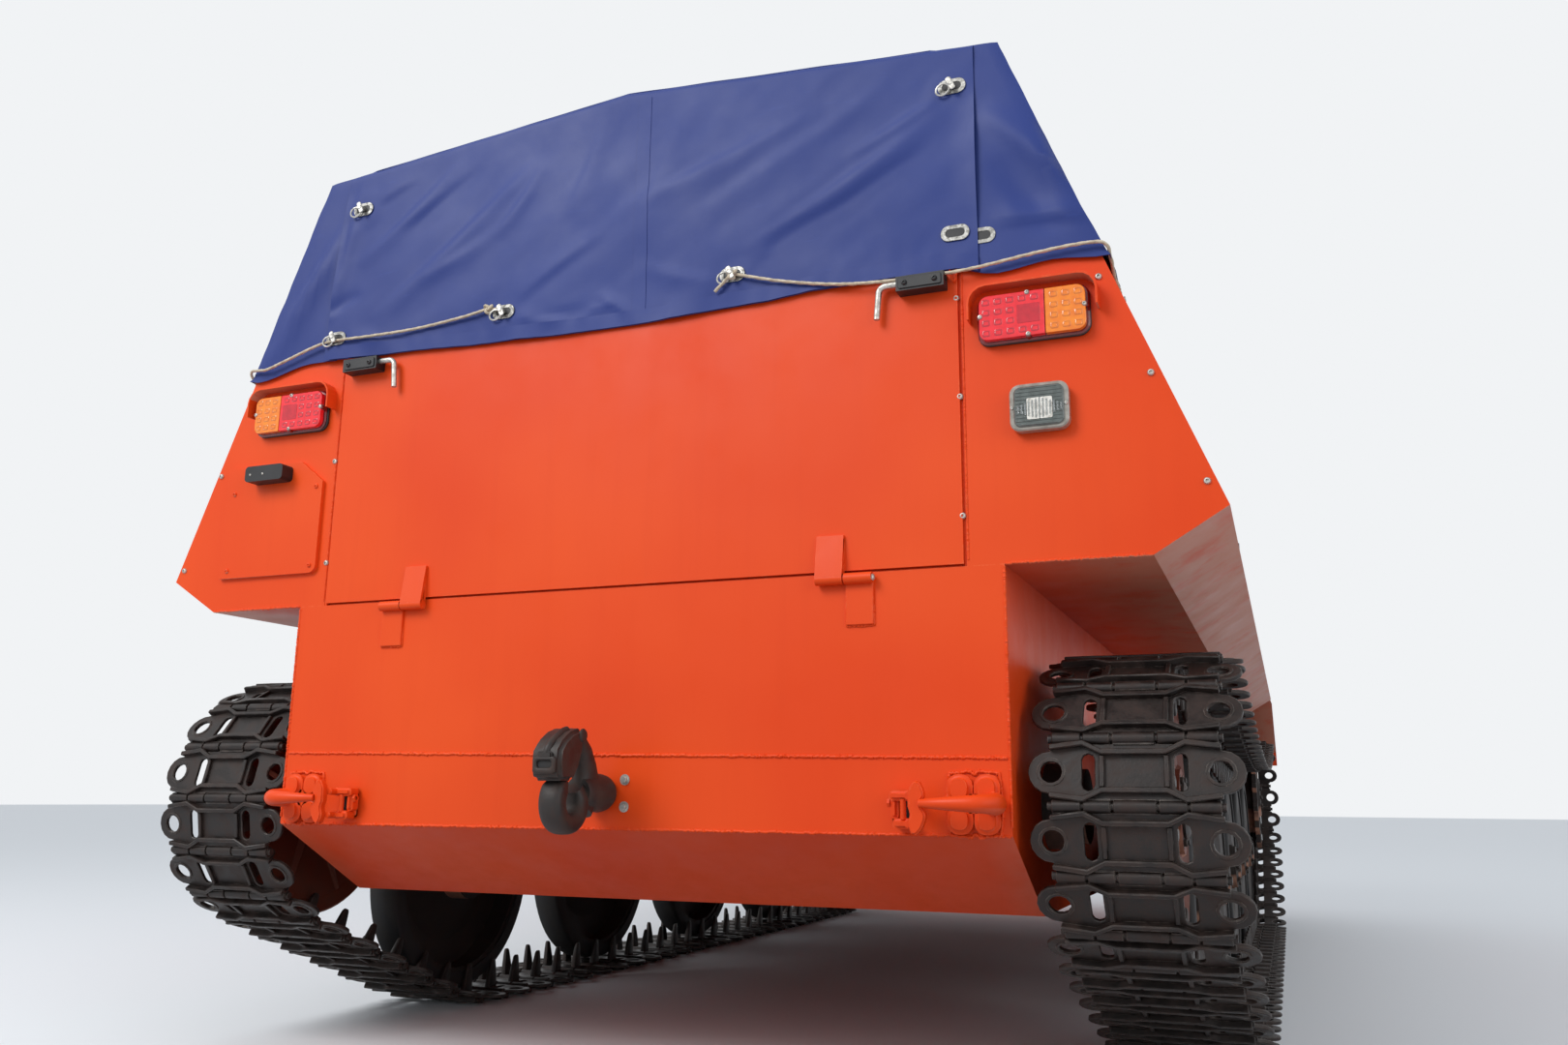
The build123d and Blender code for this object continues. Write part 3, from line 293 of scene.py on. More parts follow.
@dataclass(frozen=True)
class Enamel(Finish):
    """Alkyd enamel brushed and sprayed on steel plate.

    Gives the eye a warm even colour with faint sags, orange peel, thin dust low
    down, a pale road film under the sponsons and paler rubbed edges.
    """

    name: str = "alkyd_enamel_on_steel"
    slot: str = "body_paint"
    colour: str = "#E24410"
    light: str = "#EA5018"
    deep: str = "#D63C0C"
    rubbed: str = "#F07A4C"
    dust: str = "#A8563A"
    dust_top: float = 0.55
    road_film: str = "#DDA58C"
    peel: float = 3.5
    wave: float = 260.0
    gloss: float = 0.36

    def build(self, shader: Shader) -> None:
        """Fill the material's nodes."""
        tree, place = shader.tree, shader.place
        broad = shader.patches(600, 0.35, 0.65, detail=2)
        runs = shader.patches(38, 0.5, 0.8, 0.16, 4, 0.6, (1, 1, 16))
        low = shader.between(place, 2, self.dust_top, self.dust_top - 0.5, 0.5)
        dust = shader.overlap(low, shader.patches(60, 0.45, 0.72, detail=9, rough=0.72))
        facing = add_node(tree, "NewGeometry").outputs["Normal"]
        across = add_node(tree, "VectorMath", {"operation": "ABSOLUTE"}, {0: place}).outputs[0]
        film = shader.overlap(shader.between(facing, 2, -0.3, -0.5, 0.7), shader.between(across, 0, 0.8, 1.1),
                              shader.patches(130, 0.22, 0.5, detail=8, rough=0.68))
        worn = shader.overlap(shader.edges(2.5), shader.patches(14, 0.5, 0.62, detail=6, rough=0.65))
        shader.paint(self.colour, (broad, self.light), (runs, self.deep), (dust, self.dust),
                     (film, self.road_film), (worn, self.rubbed))
        shader.roughen(self.gloss, (shader.patches(120, 0.3, 0.7, detail=5, rough=0.6), 0.16), (dust, 0.4))
        shader.fix(IOR=1.5, Specular_IOR_Level=0.22, Coat_Weight=0.02, Coat_Roughness=0.25)
        shader.bump([(shader.noise(self.wave, 2, 0.4), 5.0, 0.35), (shader.noise(self.peel, 2), 0.25, 0.35),
                     (shader.noise(30, 3, 0.6, (1, 1, 6)), 0.5, 0.25)])


@dataclass(frozen=True)
class CoatedCloth(Finish):
    """Polyester cloth coated with soft PVC and welded at its seams.

    Gives the eye a deep blue skin with a faint thread grid, milky scuffs on the
    folds and a broad soft gloss. The threads are drawn coarser than the real
    ones, so that they show.
    """

    name: str = "pvc_coated_polyester"
    slot: str = "canvas"
    colour: str = "#273A7E"
    light: str = "#334790"
    deep: str = "#243678"
    thread: float = 2.4
    gloss: float = 0.46

    def build(self, shader: Shader) -> None:
        """Fill the material's nodes."""
        broad = shader.patches(420, 0.32, 0.68, detail=4, rough=0.55)
        scuff = shader.patches(18, 0.6, 0.8, 0.5, 8, 0.75, (5, 5, 1))
        shader.paint(self.deep, (broad, self.colour), (scuff, self.light))
        shader.roughen(self.gloss, (shader.patches(200, 0.3, 0.7, detail=4, rough=0.6), 0.12))
        waves = {"Scale": 0.314 / (self.thread * MM), "Distortion": 0.4, "Detail": 1.0}
        threads, *others = (add_node(shader.tree, "TexWave", {"bands_direction": axis, **waves},
                                     {"Vector": shader.place}).outputs["Fac"] for axis in "XYZ")
        most = {"operation": "MAXIMUM"}
        for other in others:
            threads = add_node(shader.tree, "Math", most, {0: threads, 1: other}).outputs[0]
        shader.fix(IOR=1.5, Specular_IOR_Level=0.3, Sheen_Weight=0.05, Sheen_Roughness=0.4)
        shader.bump([(shader.noise(60, 4, 0.5, (1.8, 1, 1)), 1.2, 0.3), (shader.noise(16, 3), 0.5, 0.25),
                     (threads, 0.12, 0.35)])


@dataclass(frozen=True)
class CastSteel(Finish):
    """Sand-cast steel, rolled bright where it rubs and rusted where it rests.

    Gives the eye a near-black brown with a grainy skin and paler edges, partly worn bright and partly a
    painted highlight.
    """

    name: str = "cast_manganese_steel"
    slot: str = "track_steel"
    colour: str = "#1E1816"
    rust: str = "#2C1D17"
    # edge colour: worn steel, and also a painted highlight of wet edges
    bright: str = "#847A72"
    grain: float = 5.0
    metal: float = 0.3
    gloss: float = 0.4

    def build(self, shader: Shader) -> None:
        """Fill the material's nodes."""
        rusty = shader.patches(45, 0.42, 0.66, detail=7, rough=0.65)
        # Paler edges: real wear, and also a painted highlight that lays the gleam of wet ridges into the
        # colour.
        worn = shader.overlap(shader.edges(1.6), shader.patches(20, 0.38, 0.6, detail=4))
        shader.paint(self.colour, (rusty, self.rust), (worn, self.bright))
        keep = {"operation": "MULTIPLY_ADD", 1: -self.metal * 0.6, 2: self.metal}
        shader.feed("Metallic", add_node(shader.tree, "Math", keep, {0: rusty}).outputs[0])
        shader.roughen(self.gloss, (rusty, 0.3))
        shader.bump([(shader.noise(self.grain, 5, 0.6), 0.8, 0.5), (shader.noise(32, 3), 1.2, 0.3)])


@dataclass(frozen=True)
class Moulded(Finish):
    """Moulded rubber or plastic: dark and even, with a fine grain and a bloom of dust."""

    name: str
    slot: str
    colour: str
    bloom: str
    grain: float
    depth: float
    gloss: float

    def build(self, shader: Shader) -> None:
        """Fill the material's nodes."""
        cloud = shader.patches(70, 0.4, 0.72, 0.7, 6, 0.6)
        shader.paint(self.colour, (cloud, self.bloom))
        shader.roughen(self.gloss, (cloud, 0.25))
        shader.bump([(shader.noise(self.grain, 3), self.depth, 0.5)])


@dataclass(frozen=True)
class Plated(Finish):
    """Zinc or nickel plate on steel: soft silver with a faint cloudy spangle."""

    name: str
    slot: str
    colour: str
    dull: str
    gloss: float

    def build(self, shader: Shader) -> None:
        """Fill the material's nodes."""
        cloud = shader.patches(9, 0.4, 0.65, detail=6, rough=0.7)
        shader.paint(self.colour, (cloud, self.dull))
        shader.roughen(self.gloss, (cloud, 0.25))
        shader.fix(Metallic=1.0)
        shader.bump([(shader.noise(3, 3), 0.08, 0.4)])


@dataclass(frozen=True)
class LensPlastic(Finish):
    """Injection-moulded acrylic lens: saturated colour under a hard clear gloss."""

    name: str
    slot: str
    colour: str
    deep: str
    pitch: float = 14.0

    def build(self, shader: Shader) -> None:
        """Fill the material's nodes."""
        shader.paint(self.colour, (shader.patches(self.pitch, 0.35, 0.65), self.deep))
        shader.roughen(0.08, (shader.patches(25, 0.3, 0.7, detail=4), 0.12))
        shader.fix(IOR=1.49, Coat_Weight=0.6, Coat_Roughness=0.05)
        shader.bump([(shader.noise(2.5, 2), 0.1, 0.3)])


@dataclass(frozen=True)
class SheetGlass(Finish):
    """Float glass: clear, faintly green and dusty towards its edges."""

    name: str
    slot: str
    colour: str = "#C9D8D4"
    haze: str = "#9FA9A6"
    clear: float = 0.9

    def build(self, shader: Shader) -> None:
        """Fill the material's nodes."""
        cloud = shader.patches(160, 0.35, 0.8, 0.6, 5)
        shader.paint(self.colour, (cloud, self.haze))
        shader.roughen(0.02, (cloud, 0.1))
        shader.fix(IOR=1.5, Transmission_Weight=self.clear)
        shader.bump([(shader.noise(400, 1), 0.3, 0.2)])


@dataclass(frozen=True)
class LaidRope(Finish):
    """Three-strand hemp rope: matt and hairy, weathered to straw and grey."""

    name: str = "laid_hemp"
    slot: str = "rope"
    colour: str = "#DACBB2"
    grey: str = "#B0A28C"
    strand: float = 4.0

    def build(self, shader: Shader) -> None:
        """Fill the material's nodes."""
        shader.paint(self.colour, (shader.patches(14, 0.35, 0.65, detail=6, rough=0.7), self.grey))
        shader.fix(Roughness=0.85, Sheen_Weight=0.2)
        shader.bump([(shader.noise(self.strand, 4, 0.6, (2, 2, 1)), 0.6, 0.6)])


@dataclass(frozen=True)
class Vinyl(Finish):
    """Embossed vinyl over foam: soft black with a leather-like grain."""

    name: str = "embossed_vinyl"
    slot: str = "seat_cover"
    colour: str = "#232427"
    light: str = "#36383C"
    grain: float = 5.0

    def build(self, shader: Shader) -> None:
        """Fill the material's nodes."""
        cloud = shader.patches(120, 0.35, 0.7, detail=4)
        shader.paint(self.colour, (cloud, self.light))
        shader.roughen(0.42, (cloud, 0.2))
        size = {"Scale": 1 / (self.grain * MM)}
        cells = add_node(shader.tree, "TexVoronoi", size, {"Vector": shader.place}).outputs[0]
        shader.bump([(cells, 0.4, 0.5)])


class Kind(Enum):
    """Every finish on the carrier."""

    BODY = Enamel()
    BED = Enamel(name="grey_floor_enamel", slot="bed_steel", colour="#5E6163", light="#6B6E70",
                 deep="#4A4C4E", rubbed="#8D8F90", dust="#6D655C", dust_top=1.3, gloss=0.5)
    # Idler paint: a dirty orange enamel given as dark brown, which is painted shade; its dust and rubbed
    # colours are real dirt and wear.
    IDLER = Enamel(name="dirty_orange_enamel_painted_shade", slot="idler_steel", colour="#54261A", light="#6B3120",
                   deep="#34180F", rubbed="#7A6A60", dust="#4B3A30", dust_top=0.9, gloss=0.5)
    WHEEL = Enamel(name="black_enamel_on_pressings", slot="wheel_steel", colour="#262221", light="#332D2B",
                   deep="#1A1716", rubbed="#6E6660", dust="#4A4039", dust_top=0.9, gloss=0.5)
    ENGINE = Enamel(name="engine_enamel", slot="engine_paint", colour="#50595A", light="#5B6465",
                    deep="#3D4445", rubbed="#7F8687", dust="#3A3531", dust_top=1.0, gloss=0.45)
    LINING = Moulded("grained_abs_lining", "cab_lining", "#2C2D2F", "#3B3B3B", 3.0, 0.3, 0.55)
    PLASTIC = Moulded("glass_filled_nylon", "black_plastic", "#141416", "#242427", 2.5, 0.2, 0.4)
    RUBBER = Moulded("vulcanised_rubber", "tyre", "#17171A", "#35312D", 6.0, 0.6, 0.68)
    TRACK = CastSteel()
    IRON = CastSteel(name="forged_iron_blackened", slot="black_iron", colour="#2A2523", rust="#3B2A22",
                     bright="#4E4641", grain=7.0, metal=0.3, gloss=0.5)
    ZINC = Plated("zinc_plate_on_steel", "zinc", "#C8C6C0", "#A09D96", 0.42)
    NICKEL = Plated("nickel_plate_on_brass", "zinc", "#A3A29E", "#75736E", 0.42)
    CLOTH = CoatedCloth()
    ROPE = LaidRope()
    VINYL = Vinyl()
    RED = LensPlastic("red_acrylic_lens", "lamp_lens", "#FA2030", "#E81A2A")
    # RED_CELL and AMBER_CELL: the lens acrylic made darker for the pillow cells and reflector block, which is
    # painted shade.
    RED_CELL = LensPlastic("red_acrylic_cells_painted_shade", "lamp_lens", "#D2162C", "#C01228")
    DEEP_RED = LensPlastic("red_acrylic_rim", "lamp_lens", "#7E1018", "#680C14")
    AMBER = LensPlastic("amber_acrylic_lens", "lamp_lens", "#FA8C14", "#F07A10")
    AMBER_CELL = LensPlastic("amber_acrylic_cells_painted_shade", "lamp_lens", "#EA8216", "#DC7010")
    CLEAR = SheetGlass("ribbed_lamp_glass", "clear_lens", "#D9DEDE", "#B9C0C0", 0.75)
    HAZY = LensPlastic("hazy_clear_acrylic", "clear_lens", "#A8A49A", "#8C887E")
    SMOKY = LensPlastic("smoky_ribbed_acrylic", "clear_lens", "#5E6764", "#4E5653")
    GLASS = SheetGlass("tempered_window_glass", "glass")


FINISH_OF_NODE: dict[Kind, tuple[str, ...]] = {
    Kind.BODY: ("hull_tub", "nose_deck", "nose_hatch", "sponson_right", "sponson_left", "rear_panel_right",
                "rear_panel_left", "tailgate", "gate_hinges", "cab_roof", "cab_front", "cab_back",
                "cab_side_right", "cab_side_left", "door_right", "door_left", "roof_hatch_right",
                "roof_hatch_left", "socket_cover", "lamp_hoods", "tow_hooks", "front_hooks"),
    Kind.BED: ("cover_bows", "cargo_floor", "benches", "cab_floor", "seat_bases"),
    Kind.IDLER: ("idlers",),
    Kind.WHEEL: ("road_wheels", "swing_arms", "idler_axles", "sprockets", "final_drives"),
    Kind.ENGINE: ("engine_block",),
    Kind.LINING: ("engine_cover", "dashboard"),
    Kind.PLASTIC: ("bolt_housings", "plate_lamp", "headlamps", "mirrors"),
    Kind.RUBBER: ("wheel_tyres",),
    Kind.TRACK: ("track_right", "track_left"),
    Kind.IRON: ("tow_hitch", "hitch_keeper"),
    Kind.ZINC: ("bolt_rods", "steering_levers"),
    Kind.CLOTH: ("load_cover",),
    Kind.ROPE: ("cover_rope",),
    Kind.VINYL: ("seats",),
    Kind.RED: ("tail_lamps",),
    Kind.CLEAR: ("reversing_lamp",),
    Kind.GLASS: ("door_glass_right", "door_glass_left", "cab_glass"),
}


# Mesh drafting


def shift(x: float, y: float, z: float = 0.0) -> Matrix:
    """Placement that only moves."""
    return Matrix.Translation((x, y, z))


def frame_at(origin: Sequence[float], out: Sequence[float], up: Sequence[float] = (0, 0, 1)) -> Matrix:
    """Placement whose z axis points out of a surface.

    Args:
        origin: place of the origin, in millimetres with a station as y.
        out: direction out of the surface.
        up: direction that the y axis leans towards.

    Returns:
        The placement.
    """
    normal = Vector(out).normalized()
    across = Vector(up).cross(normal).normalized()
    turn = Matrix((across, normal.cross(across), normal)).transposed()
    return shift(*origin) @ turn.to_4x4()


def on_rear(x: float, z: float, proud: float = 0.0) -> Matrix:
    """Placement on the rear face at x and z, facing rearward."""
    return frame_at((x, -proud, z), (0, -1, 0))


def on_side(station: float, height: float, proud: float = 0.0) -> Matrix:
    """Placement on the sloping right side, facing outward."""
    out = BODY.side_out
    place = Vector((BODY.side_x(height), station, height)) + out * proud
    return frame_at(place, out)


MIRROR = Matrix.Scale(-1, 4, Vector((1, 0, 0)))
BOTH = ((Side.RIGHT, Matrix.Identity(4)), (Side.LEFT, MIRROR))


def rectangle(width: float, height: float, corner: float = 0.0, steps: int = 3,
              at: Flat = (0, 0)) -> list[Flat]:
    """Outline of a rectangle about a point, its corners rounded."""
    if not corner:
        return [(sx * width / 2 + at[0], sy * height / 2 + at[1])
                for sx, sy in ((-1, -1), (1, -1), (1, 1), (-1, 1))]
    points = []
    for quarter, (sx, sy) in enumerate(((1, 1), (-1, 1), (-1, -1), (1, -1))):
        for i in range(steps + 1):
            a = radians(90 * (quarter + i / steps))
            points.append((sx * (width / 2 - corner) + corner * cos(a) + at[0],
                           sy * (height / 2 - corner) + corner * sin(a) + at[1]))
    return points


def circle(radius: float, steps: int = 16, at: Flat = (0, 0), turn: float = 0.0) -> list[Flat]:
    """Outline of a circle or, with few steps, of a regular polygon."""
    angles = [turn + 2 * pi * i / steps for i in range(steps)]
    return [(at[0] + radius * cos(a), at[1] + radius * sin(a)) for a in angles]


def arc(centre: Point, start: float, end: float, count: int) -> list[Flat]:
    """Points along a circle, given by its middle and radius, from one angle to another."""
    angles = [start + (end - start) * i / count for i in range(count + 1)]
    return [(centre[0] + centre[2] * cos(a), centre[1] + centre[2] * sin(a)) for a in angles]


def spline(points: Points, step: float) -> list[Vector]:
    """Smooth line through points, sampled about every step millimetres."""
    known = [Vector(p) for p in points]
    known = [known[0] * 2 - known[1], *known, known[-1] * 2 - known[-2]]
    line = []
    for a, b, c, d in zip(known, known[1:], known[2:], known[3:]):
        count = max(1, round((c - b).length / step))
        for i in range(count):
            t = i / count
            line.append(0.5 * (2 * b + (c - a) * t + (2 * a - 5 * b + 4 * c - d) * t**2
                               + (3 * b - a - 3 * c + d) * t**3))
    return line + [known[-2]]


def bent(points: Points, radius: float, steps: int = 4) -> list[Vector]:
    """Line through points with its corners rounded."""
    known = [Vector(p) for p in points]
    line = [known[0]]
    for before, corner, after in zip(known, known[1:], known[2:]):
        reach = min(radius, (before - corner).length / 2, (after - corner).length / 2)
        a = corner + (before - corner).normalized() * reach
        b = corner + (after - corner).normalized() * reach
        for i in range(steps + 1):
            t = i / steps
            line.append(a * (1 - t) ** 2 + corner * 2 * t * (1 - t) + b * t**2)
    return line + [known[-1]]


class Draft:
    """A mesh under construction, in millimetres with stations as y."""

    # edges that bend more than this are chamfered, in radians
    sharp_bend = 0.75

    def __init__(self, name: str, kind: Kind, body: str = "hull") -> None:
        """Start an empty mesh.

        Args:
            name: name of the finished piece.
            kind: its finish.
            body: moving body that carries it.
        """
        self.name, self.kind, self.body = name, kind, body
        self.mesh = bmesh.new()

    def absorb(self, part: bmesh.types.BMesh, place: Matrix) -> None:
        """Move a part to its place and take it into the mesh."""
        part.transform(place)
        if place.determinant() < 0:
            bmesh.ops.reverse_faces(part, faces=part.faces[:])
        held = bpy.data.meshes.new("part")
        part.to_mesh(held)
        part.free()
        self.mesh.from_mesh(held)
        bpy.data.meshes.remove(held)

    def prism(self, outline: Sequence[Flat], depth: float, place: Matrix, chamfer: float = 0.0,
              holes: Sequence[Sequence[Flat]] = (), rounds: int = 1) -> None:
        """Add a plate with sharp, chamfered or rounded edges.

        Args:
            outline: its outline in the placement's x and y.
            depth: thickness along the placement's z.
            place: where it goes.
            chamfer: width of the chamfer on its edges.
            holes: outlines of the holes through it.
            rounds: facets across each chamfer.
        """
        part = bmesh.new()
        rings, edges = [], []
        for ring in (outline, *holes):
            verts = [part.verts.new((u, v, 0)) for u, v in ring]
            edges += [part.edges.new(pair) for pair in zip(verts, verts[1:] + verts[:1])]
            rings.append(verts)
        if len(rings) == 2 and len(rings[0]) == len(rings[1]):
            self._skin(part, rings)
        elif holes:
            bmesh.ops.triangle_fill(part, use_beauty=True, edges=edges)
        else:
            part.faces.new(verts)
        moved = bmesh.ops.extrude_face_region(part, geom=part.faces[:])["geom"]
        top = [v for v in moved if isinstance(v, bmesh.types.BMVert)]
        bmesh.ops.translate(part, vec=(0, 0, depth), verts=top)
        bmesh.ops.recalc_face_normals(part, faces=part.faces[:])
        if chamfer:
            sharp = [e for e in part.edges
                     if len(e.link_faces) == 2 and e.calc_face_angle(0) > self.sharp_bend]
            bmesh.ops.bevel(part, geom=sharp, offset=chamfer, segments=rounds, affect="EDGES",
                            clamp_overlap=True)
        self.absorb(part, place)

    def box(self, low: Point, high: Point, chamfer: float = 0.0, place: Matrix = Matrix()) -> None:
        """Add a box between two corners, with y as a station."""
        middle = ((low[0] + high[0]) / 2, (low[1] + high[1]) / 2)
        outline = rectangle(high[0] - low[0], high[1] - low[1], at=middle)
        self.prism(outline, high[2] - low[2], place @ shift(0, 0, low[2]), chamfer)

    def turned(self, profile: Sequence[Flat], place: Matrix, steps: int = 24) -> None:
        """Add a turned part.

        Args:
            profile: points in (radius, distance along the placement's z).
            place: where its axis goes.
            steps: facets round the axis.
        """
        part = bmesh.new()
        rings = []
        for radius, along in profile:
            spots = circle(radius, steps) if radius else [(0, 0)]
            rings.append([part.verts.new((u, v, along)) for u, v in spots])
        self._skin(part, rings)
        self.absorb(part, place)

    def loft(self, rings: Sequence[Points], place: Matrix = Matrix()) -> None:
        """Add a closed form through rings of points with as many points each."""
        part = bmesh.new()
        verts = [[part.verts.new(spot) for spot in ring] for ring in rings]
        part.faces.new(verts[0][::-1])
        part.faces.new(verts[-1])
        self._skin(part, verts)
        bmesh.ops.recalc_face_normals(part, faces=part.faces[:])
        self.absorb(part, place)

    def tube(self, path: Points, radius: float, steps: int = 10, place: Matrix = Matrix(),
             shape: Callable[[int, float], float] | None = None, closed: bool = False) -> None:
        """Add a round bar along a line.

        Args:
            path: points of its centreline.
            radius: its radius.
            steps: facets round it.
            place: where the line's own coordinates go.
            shape: factor on the radius for a place along the line and an angle round it.
            closed: whether the line joins up into a loop.
        """
        part = bmesh.new()
        points = [Vector(p) for p in path]
        last, side, rings = len(points) - 1, None, []
        for i, point in enumerate(points):
            before, after = (points[i - 1], points[(i + 1) % len(points)]) if closed else (
                points[max(i - 1, 0)], points[min(i + 1, last)])
            along = (after - before).normalized()
            side = along.orthogonal() if side is None else side - along * side.dot(along)
            side.normalize()
            over = along.cross(side)
            ring = []
            for k in range(steps):
                a = 2 * pi * k / steps
                reach = radius * (shape(i, a) if shape else 1)
                ring.append(part.verts.new(point + (side * cos(a) + over * sin(a)) * reach))
            rings.append(ring)
        if closed:
            rings.append(rings[0])
        else:
            part.faces.new(rings[0][::-1])
            part.faces.new(rings[-1])
        self._skin(part, rings)
        bmesh.ops.recalc_face_normals(part, faces=part.faces[:])
        self.absorb(part, place)

    @staticmethod
    def _skin(part: bmesh.types.BMesh, rings: Sequence[Sequence[bmesh.types.BMVert]]) -> None:
        """Join rings of points, of which any may be a single point, by faces."""
        steps = max(len(ring) for ring in rings)
        for low, high in zip(rings, rings[1:]):
            for i in range(steps):
                j = (i + 1) % steps
                corners = (low[i % len(low)], low[j % len(low)], high[j % len(high)], high[i % len(high)])
                face = list(dict.fromkeys(corners))
                if len(face) > 2:
                    part.faces.new(face)

    def surface(self, rows: Sequence[Points]) -> None:
        """Add an open surface through rows of points."""
        verts = [[self.mesh.verts.new(Vector(p)) for p in row] for row in rows]
        for low, high in zip(verts, verts[1:]):
            for a, b, c, d in zip(low, low[1:], high[1:], high):
                self.mesh.faces.new((a, b, c, d))

    def screw(self, place: Matrix, radius: float) -> None:
        """Add a domed screw head with its recess."""
        tall = radius * 0.7
        self.turned([(radius, 0), (radius, tall * 0.35), (radius * 0.72, tall * 0.9), (radius * 0.45, tall),
                     (radius * 0.36, tall * 0.45), (0, tall * 0.45)], place, 14)

    def bolt(self, place: Matrix, across: float) -> None:
        """Add a hexagon bolt head on its washer."""
        self.turned([(across * 0.95, 0), (across * 0.95, across * 0.12), (0, across * 0.12)], place, 20)
        head = place @ shift(0, 0, across * 0.12)
        self.prism(circle(across / sqrt(3), 6, turn=0.3), across * 0.5, head, across * 0.05)

    def bead(self, path: Points, radius: float, seed: int = 1) -> None:
        """Add a weld bead with overlapping ripples along a line."""
        pitch = radius * 1.3
        line = []
        for a, b in zip(path, path[1:]):
            a, b = Vector(a), Vector(b)
            count = max(2, round((b - a).length / (pitch / 2)))
            line += [a.lerp(b, i / count) for i in range(count)]
        line.append(Vector(path[-1]))
        chance = random.Random(seed)
        jitter = [chance.uniform(0.8, 1.25) * (1.0 if i % 2 else 0.76) for i in range(len(line))]
        line = [p + Vector((0, 0, chance.uniform(-0.4, 0.4) * radius)) for p in line]
        self.tube(line, radius, 8, shape=lambda i, a: jitter[i])

    def ready(self, replaces: Iterable[str] = (), smooth: float = 36.0) -> bpy.types.Object:
        """Finish the piece and hand it to the frame.

        Args:
            replaces: frame nodes that the piece stands for.
            smooth: largest angle in degrees between faces that still shade as one.

        Returns:
            The new object.
        """
        self.mesh.transform(shift(0, REAR_Y) @ Matrix.Scale(MM, 4))
        data = bpy.data.meshes.new(self.name)
        self.mesh.to_mesh(data)
        self.mesh.free()
        data.shade_smooth()
        data.set_sharp_from_angle(angle=radians(smooth))
        data.materials.append(self.kind.value.material())
        made = bpy.data.objects.new(self.name, data)
        bpy.context.scene.collection.objects.link(made)
        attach(made, self.body)
        for node in replaces:
            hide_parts(node)
        log.info("%s: %d triangles", self.name, sum(len(p.vertices) - 2 for p in data.polygons))
        return made


def fasten(name: str, kind: Kind, places: Iterable[Matrix], size: float, body: str = "hull",
           head: Callable[[Draft, Matrix, float], None] = Draft.screw) -> None:
    """Make one piece of equal screws (size is their radius) or bolts (size is their width)."""
    draft = Draft(name, kind, body)
    for place in places:
        head(draft, place, size)
    draft.ready()


# Running gear


@dataclass(frozen=True)
class TrackRun:
    """Line of one track's hinge pins round its idler, road wheels and sprocket."""

    pitch: float = 128.0
    outer: float = 22.0
    inner: float = 11.0
    gap: float = 0.5
    wheel_radius: float = 340.0
    first_wheel: float = 990.0
    last_wheel: float = 4390.0
    idler: Point = (330.0, 592.0, 305.0)
    sprocket: Flat = (5100.0, 640.0)
    teeth: int = 14
    top_steps: int = 900

    def circles(self) -> list[Point]:
        """Station, height and pin radius of idler, rear wheel, front wheel and sprocket."""
        pins = hypot(self.wheel_radius + self.inner + self.gap, self.pitch / 2)
        height = self.outer + pins
        drive = self.pitch / 2 / sin(pi / self.teeth)
        return [self.idler, (self.first_wheel, height, pins), (self.last_wheel, height, pins),
                (*self.sprocket, drive)]

    def sag(self) -> Point:
        """Circle of the hanging top run: centre station, centre height and radius."""
        idler, wheel, _, drive = self.circles()
        low = wheel[1] + wheel[2]

        def radius(station: float, end: Point) -> float:
            """Radius that touches one end circle from a centre station."""
            y, z, r = end
            return ((station - y) ** 2 + (low - z) ** 2 - r**2) / (2 * (r + z - low))

        left, right = idler[0], drive[0]
        for _ in range(50):
            middle = (left + right) / 2
            if radius(middle, idler) < radius(middle, drive):
                left = middle
            else:
                right = middle
        return middle, low + radius(middle, idler), radius(middle, idler)

    def line(self) -> list[Flat]:
        """Dense points of the pin line, as (station, height)."""
        circles = self.circles()
        centre = self.sag()
        touches = []
        for first, second in zip(circles, circles[1:]):
            (y1, z1, r1), (y2, z2, r2) = first, second
            lean = asin((r1 - r2) / hypot(y2 - y1, z2 - z1))
            touches.append(atan2(z2 - z1, y2 - y1) + lean - pi / 2)
        toward = [atan2(centre[1] - z, centre[0] - y) for y, z, _ in (circles[0], circles[3])]
        starts = [toward[0], *touches]
        ends = [*touches, toward[1]]
        points: list[Flat] = []
        for ring, a, b in zip(circles, starts, ends):
            while b < a:
                b += 2 * pi
            points += arc(ring, a, b, max(2, round((b - a) * ring[2] / 4)))
        a, b = (atan2(z - centre[1], y - centre[0]) for y, z in (points[-1], points[0]))
        return points + arc(centre, a, b, self.top_steps)[1:]

    def pins(self) -> list[Flat]:
        """Hinge pins, evenly spaced along the line."""
        line = self.line()
        along = [0.0]
        for a, b in zip(line, line[1:]):
            along.append(along[-1] + dist(a, b))
        count = round(along[-1] / self.pitch)
        pins, k = [], 0
        for i in range(count):
            want = along[-1] * i / count
            while along[k + 1] < want:
                k += 1
            share = (want - along[k]) / max(along[k + 1] - along[k], 1e-9)
            pins.append(tuple(line[k][j] + (line[k + 1][j] - line[k][j]) * share for j in (0, 1)))
        return pins


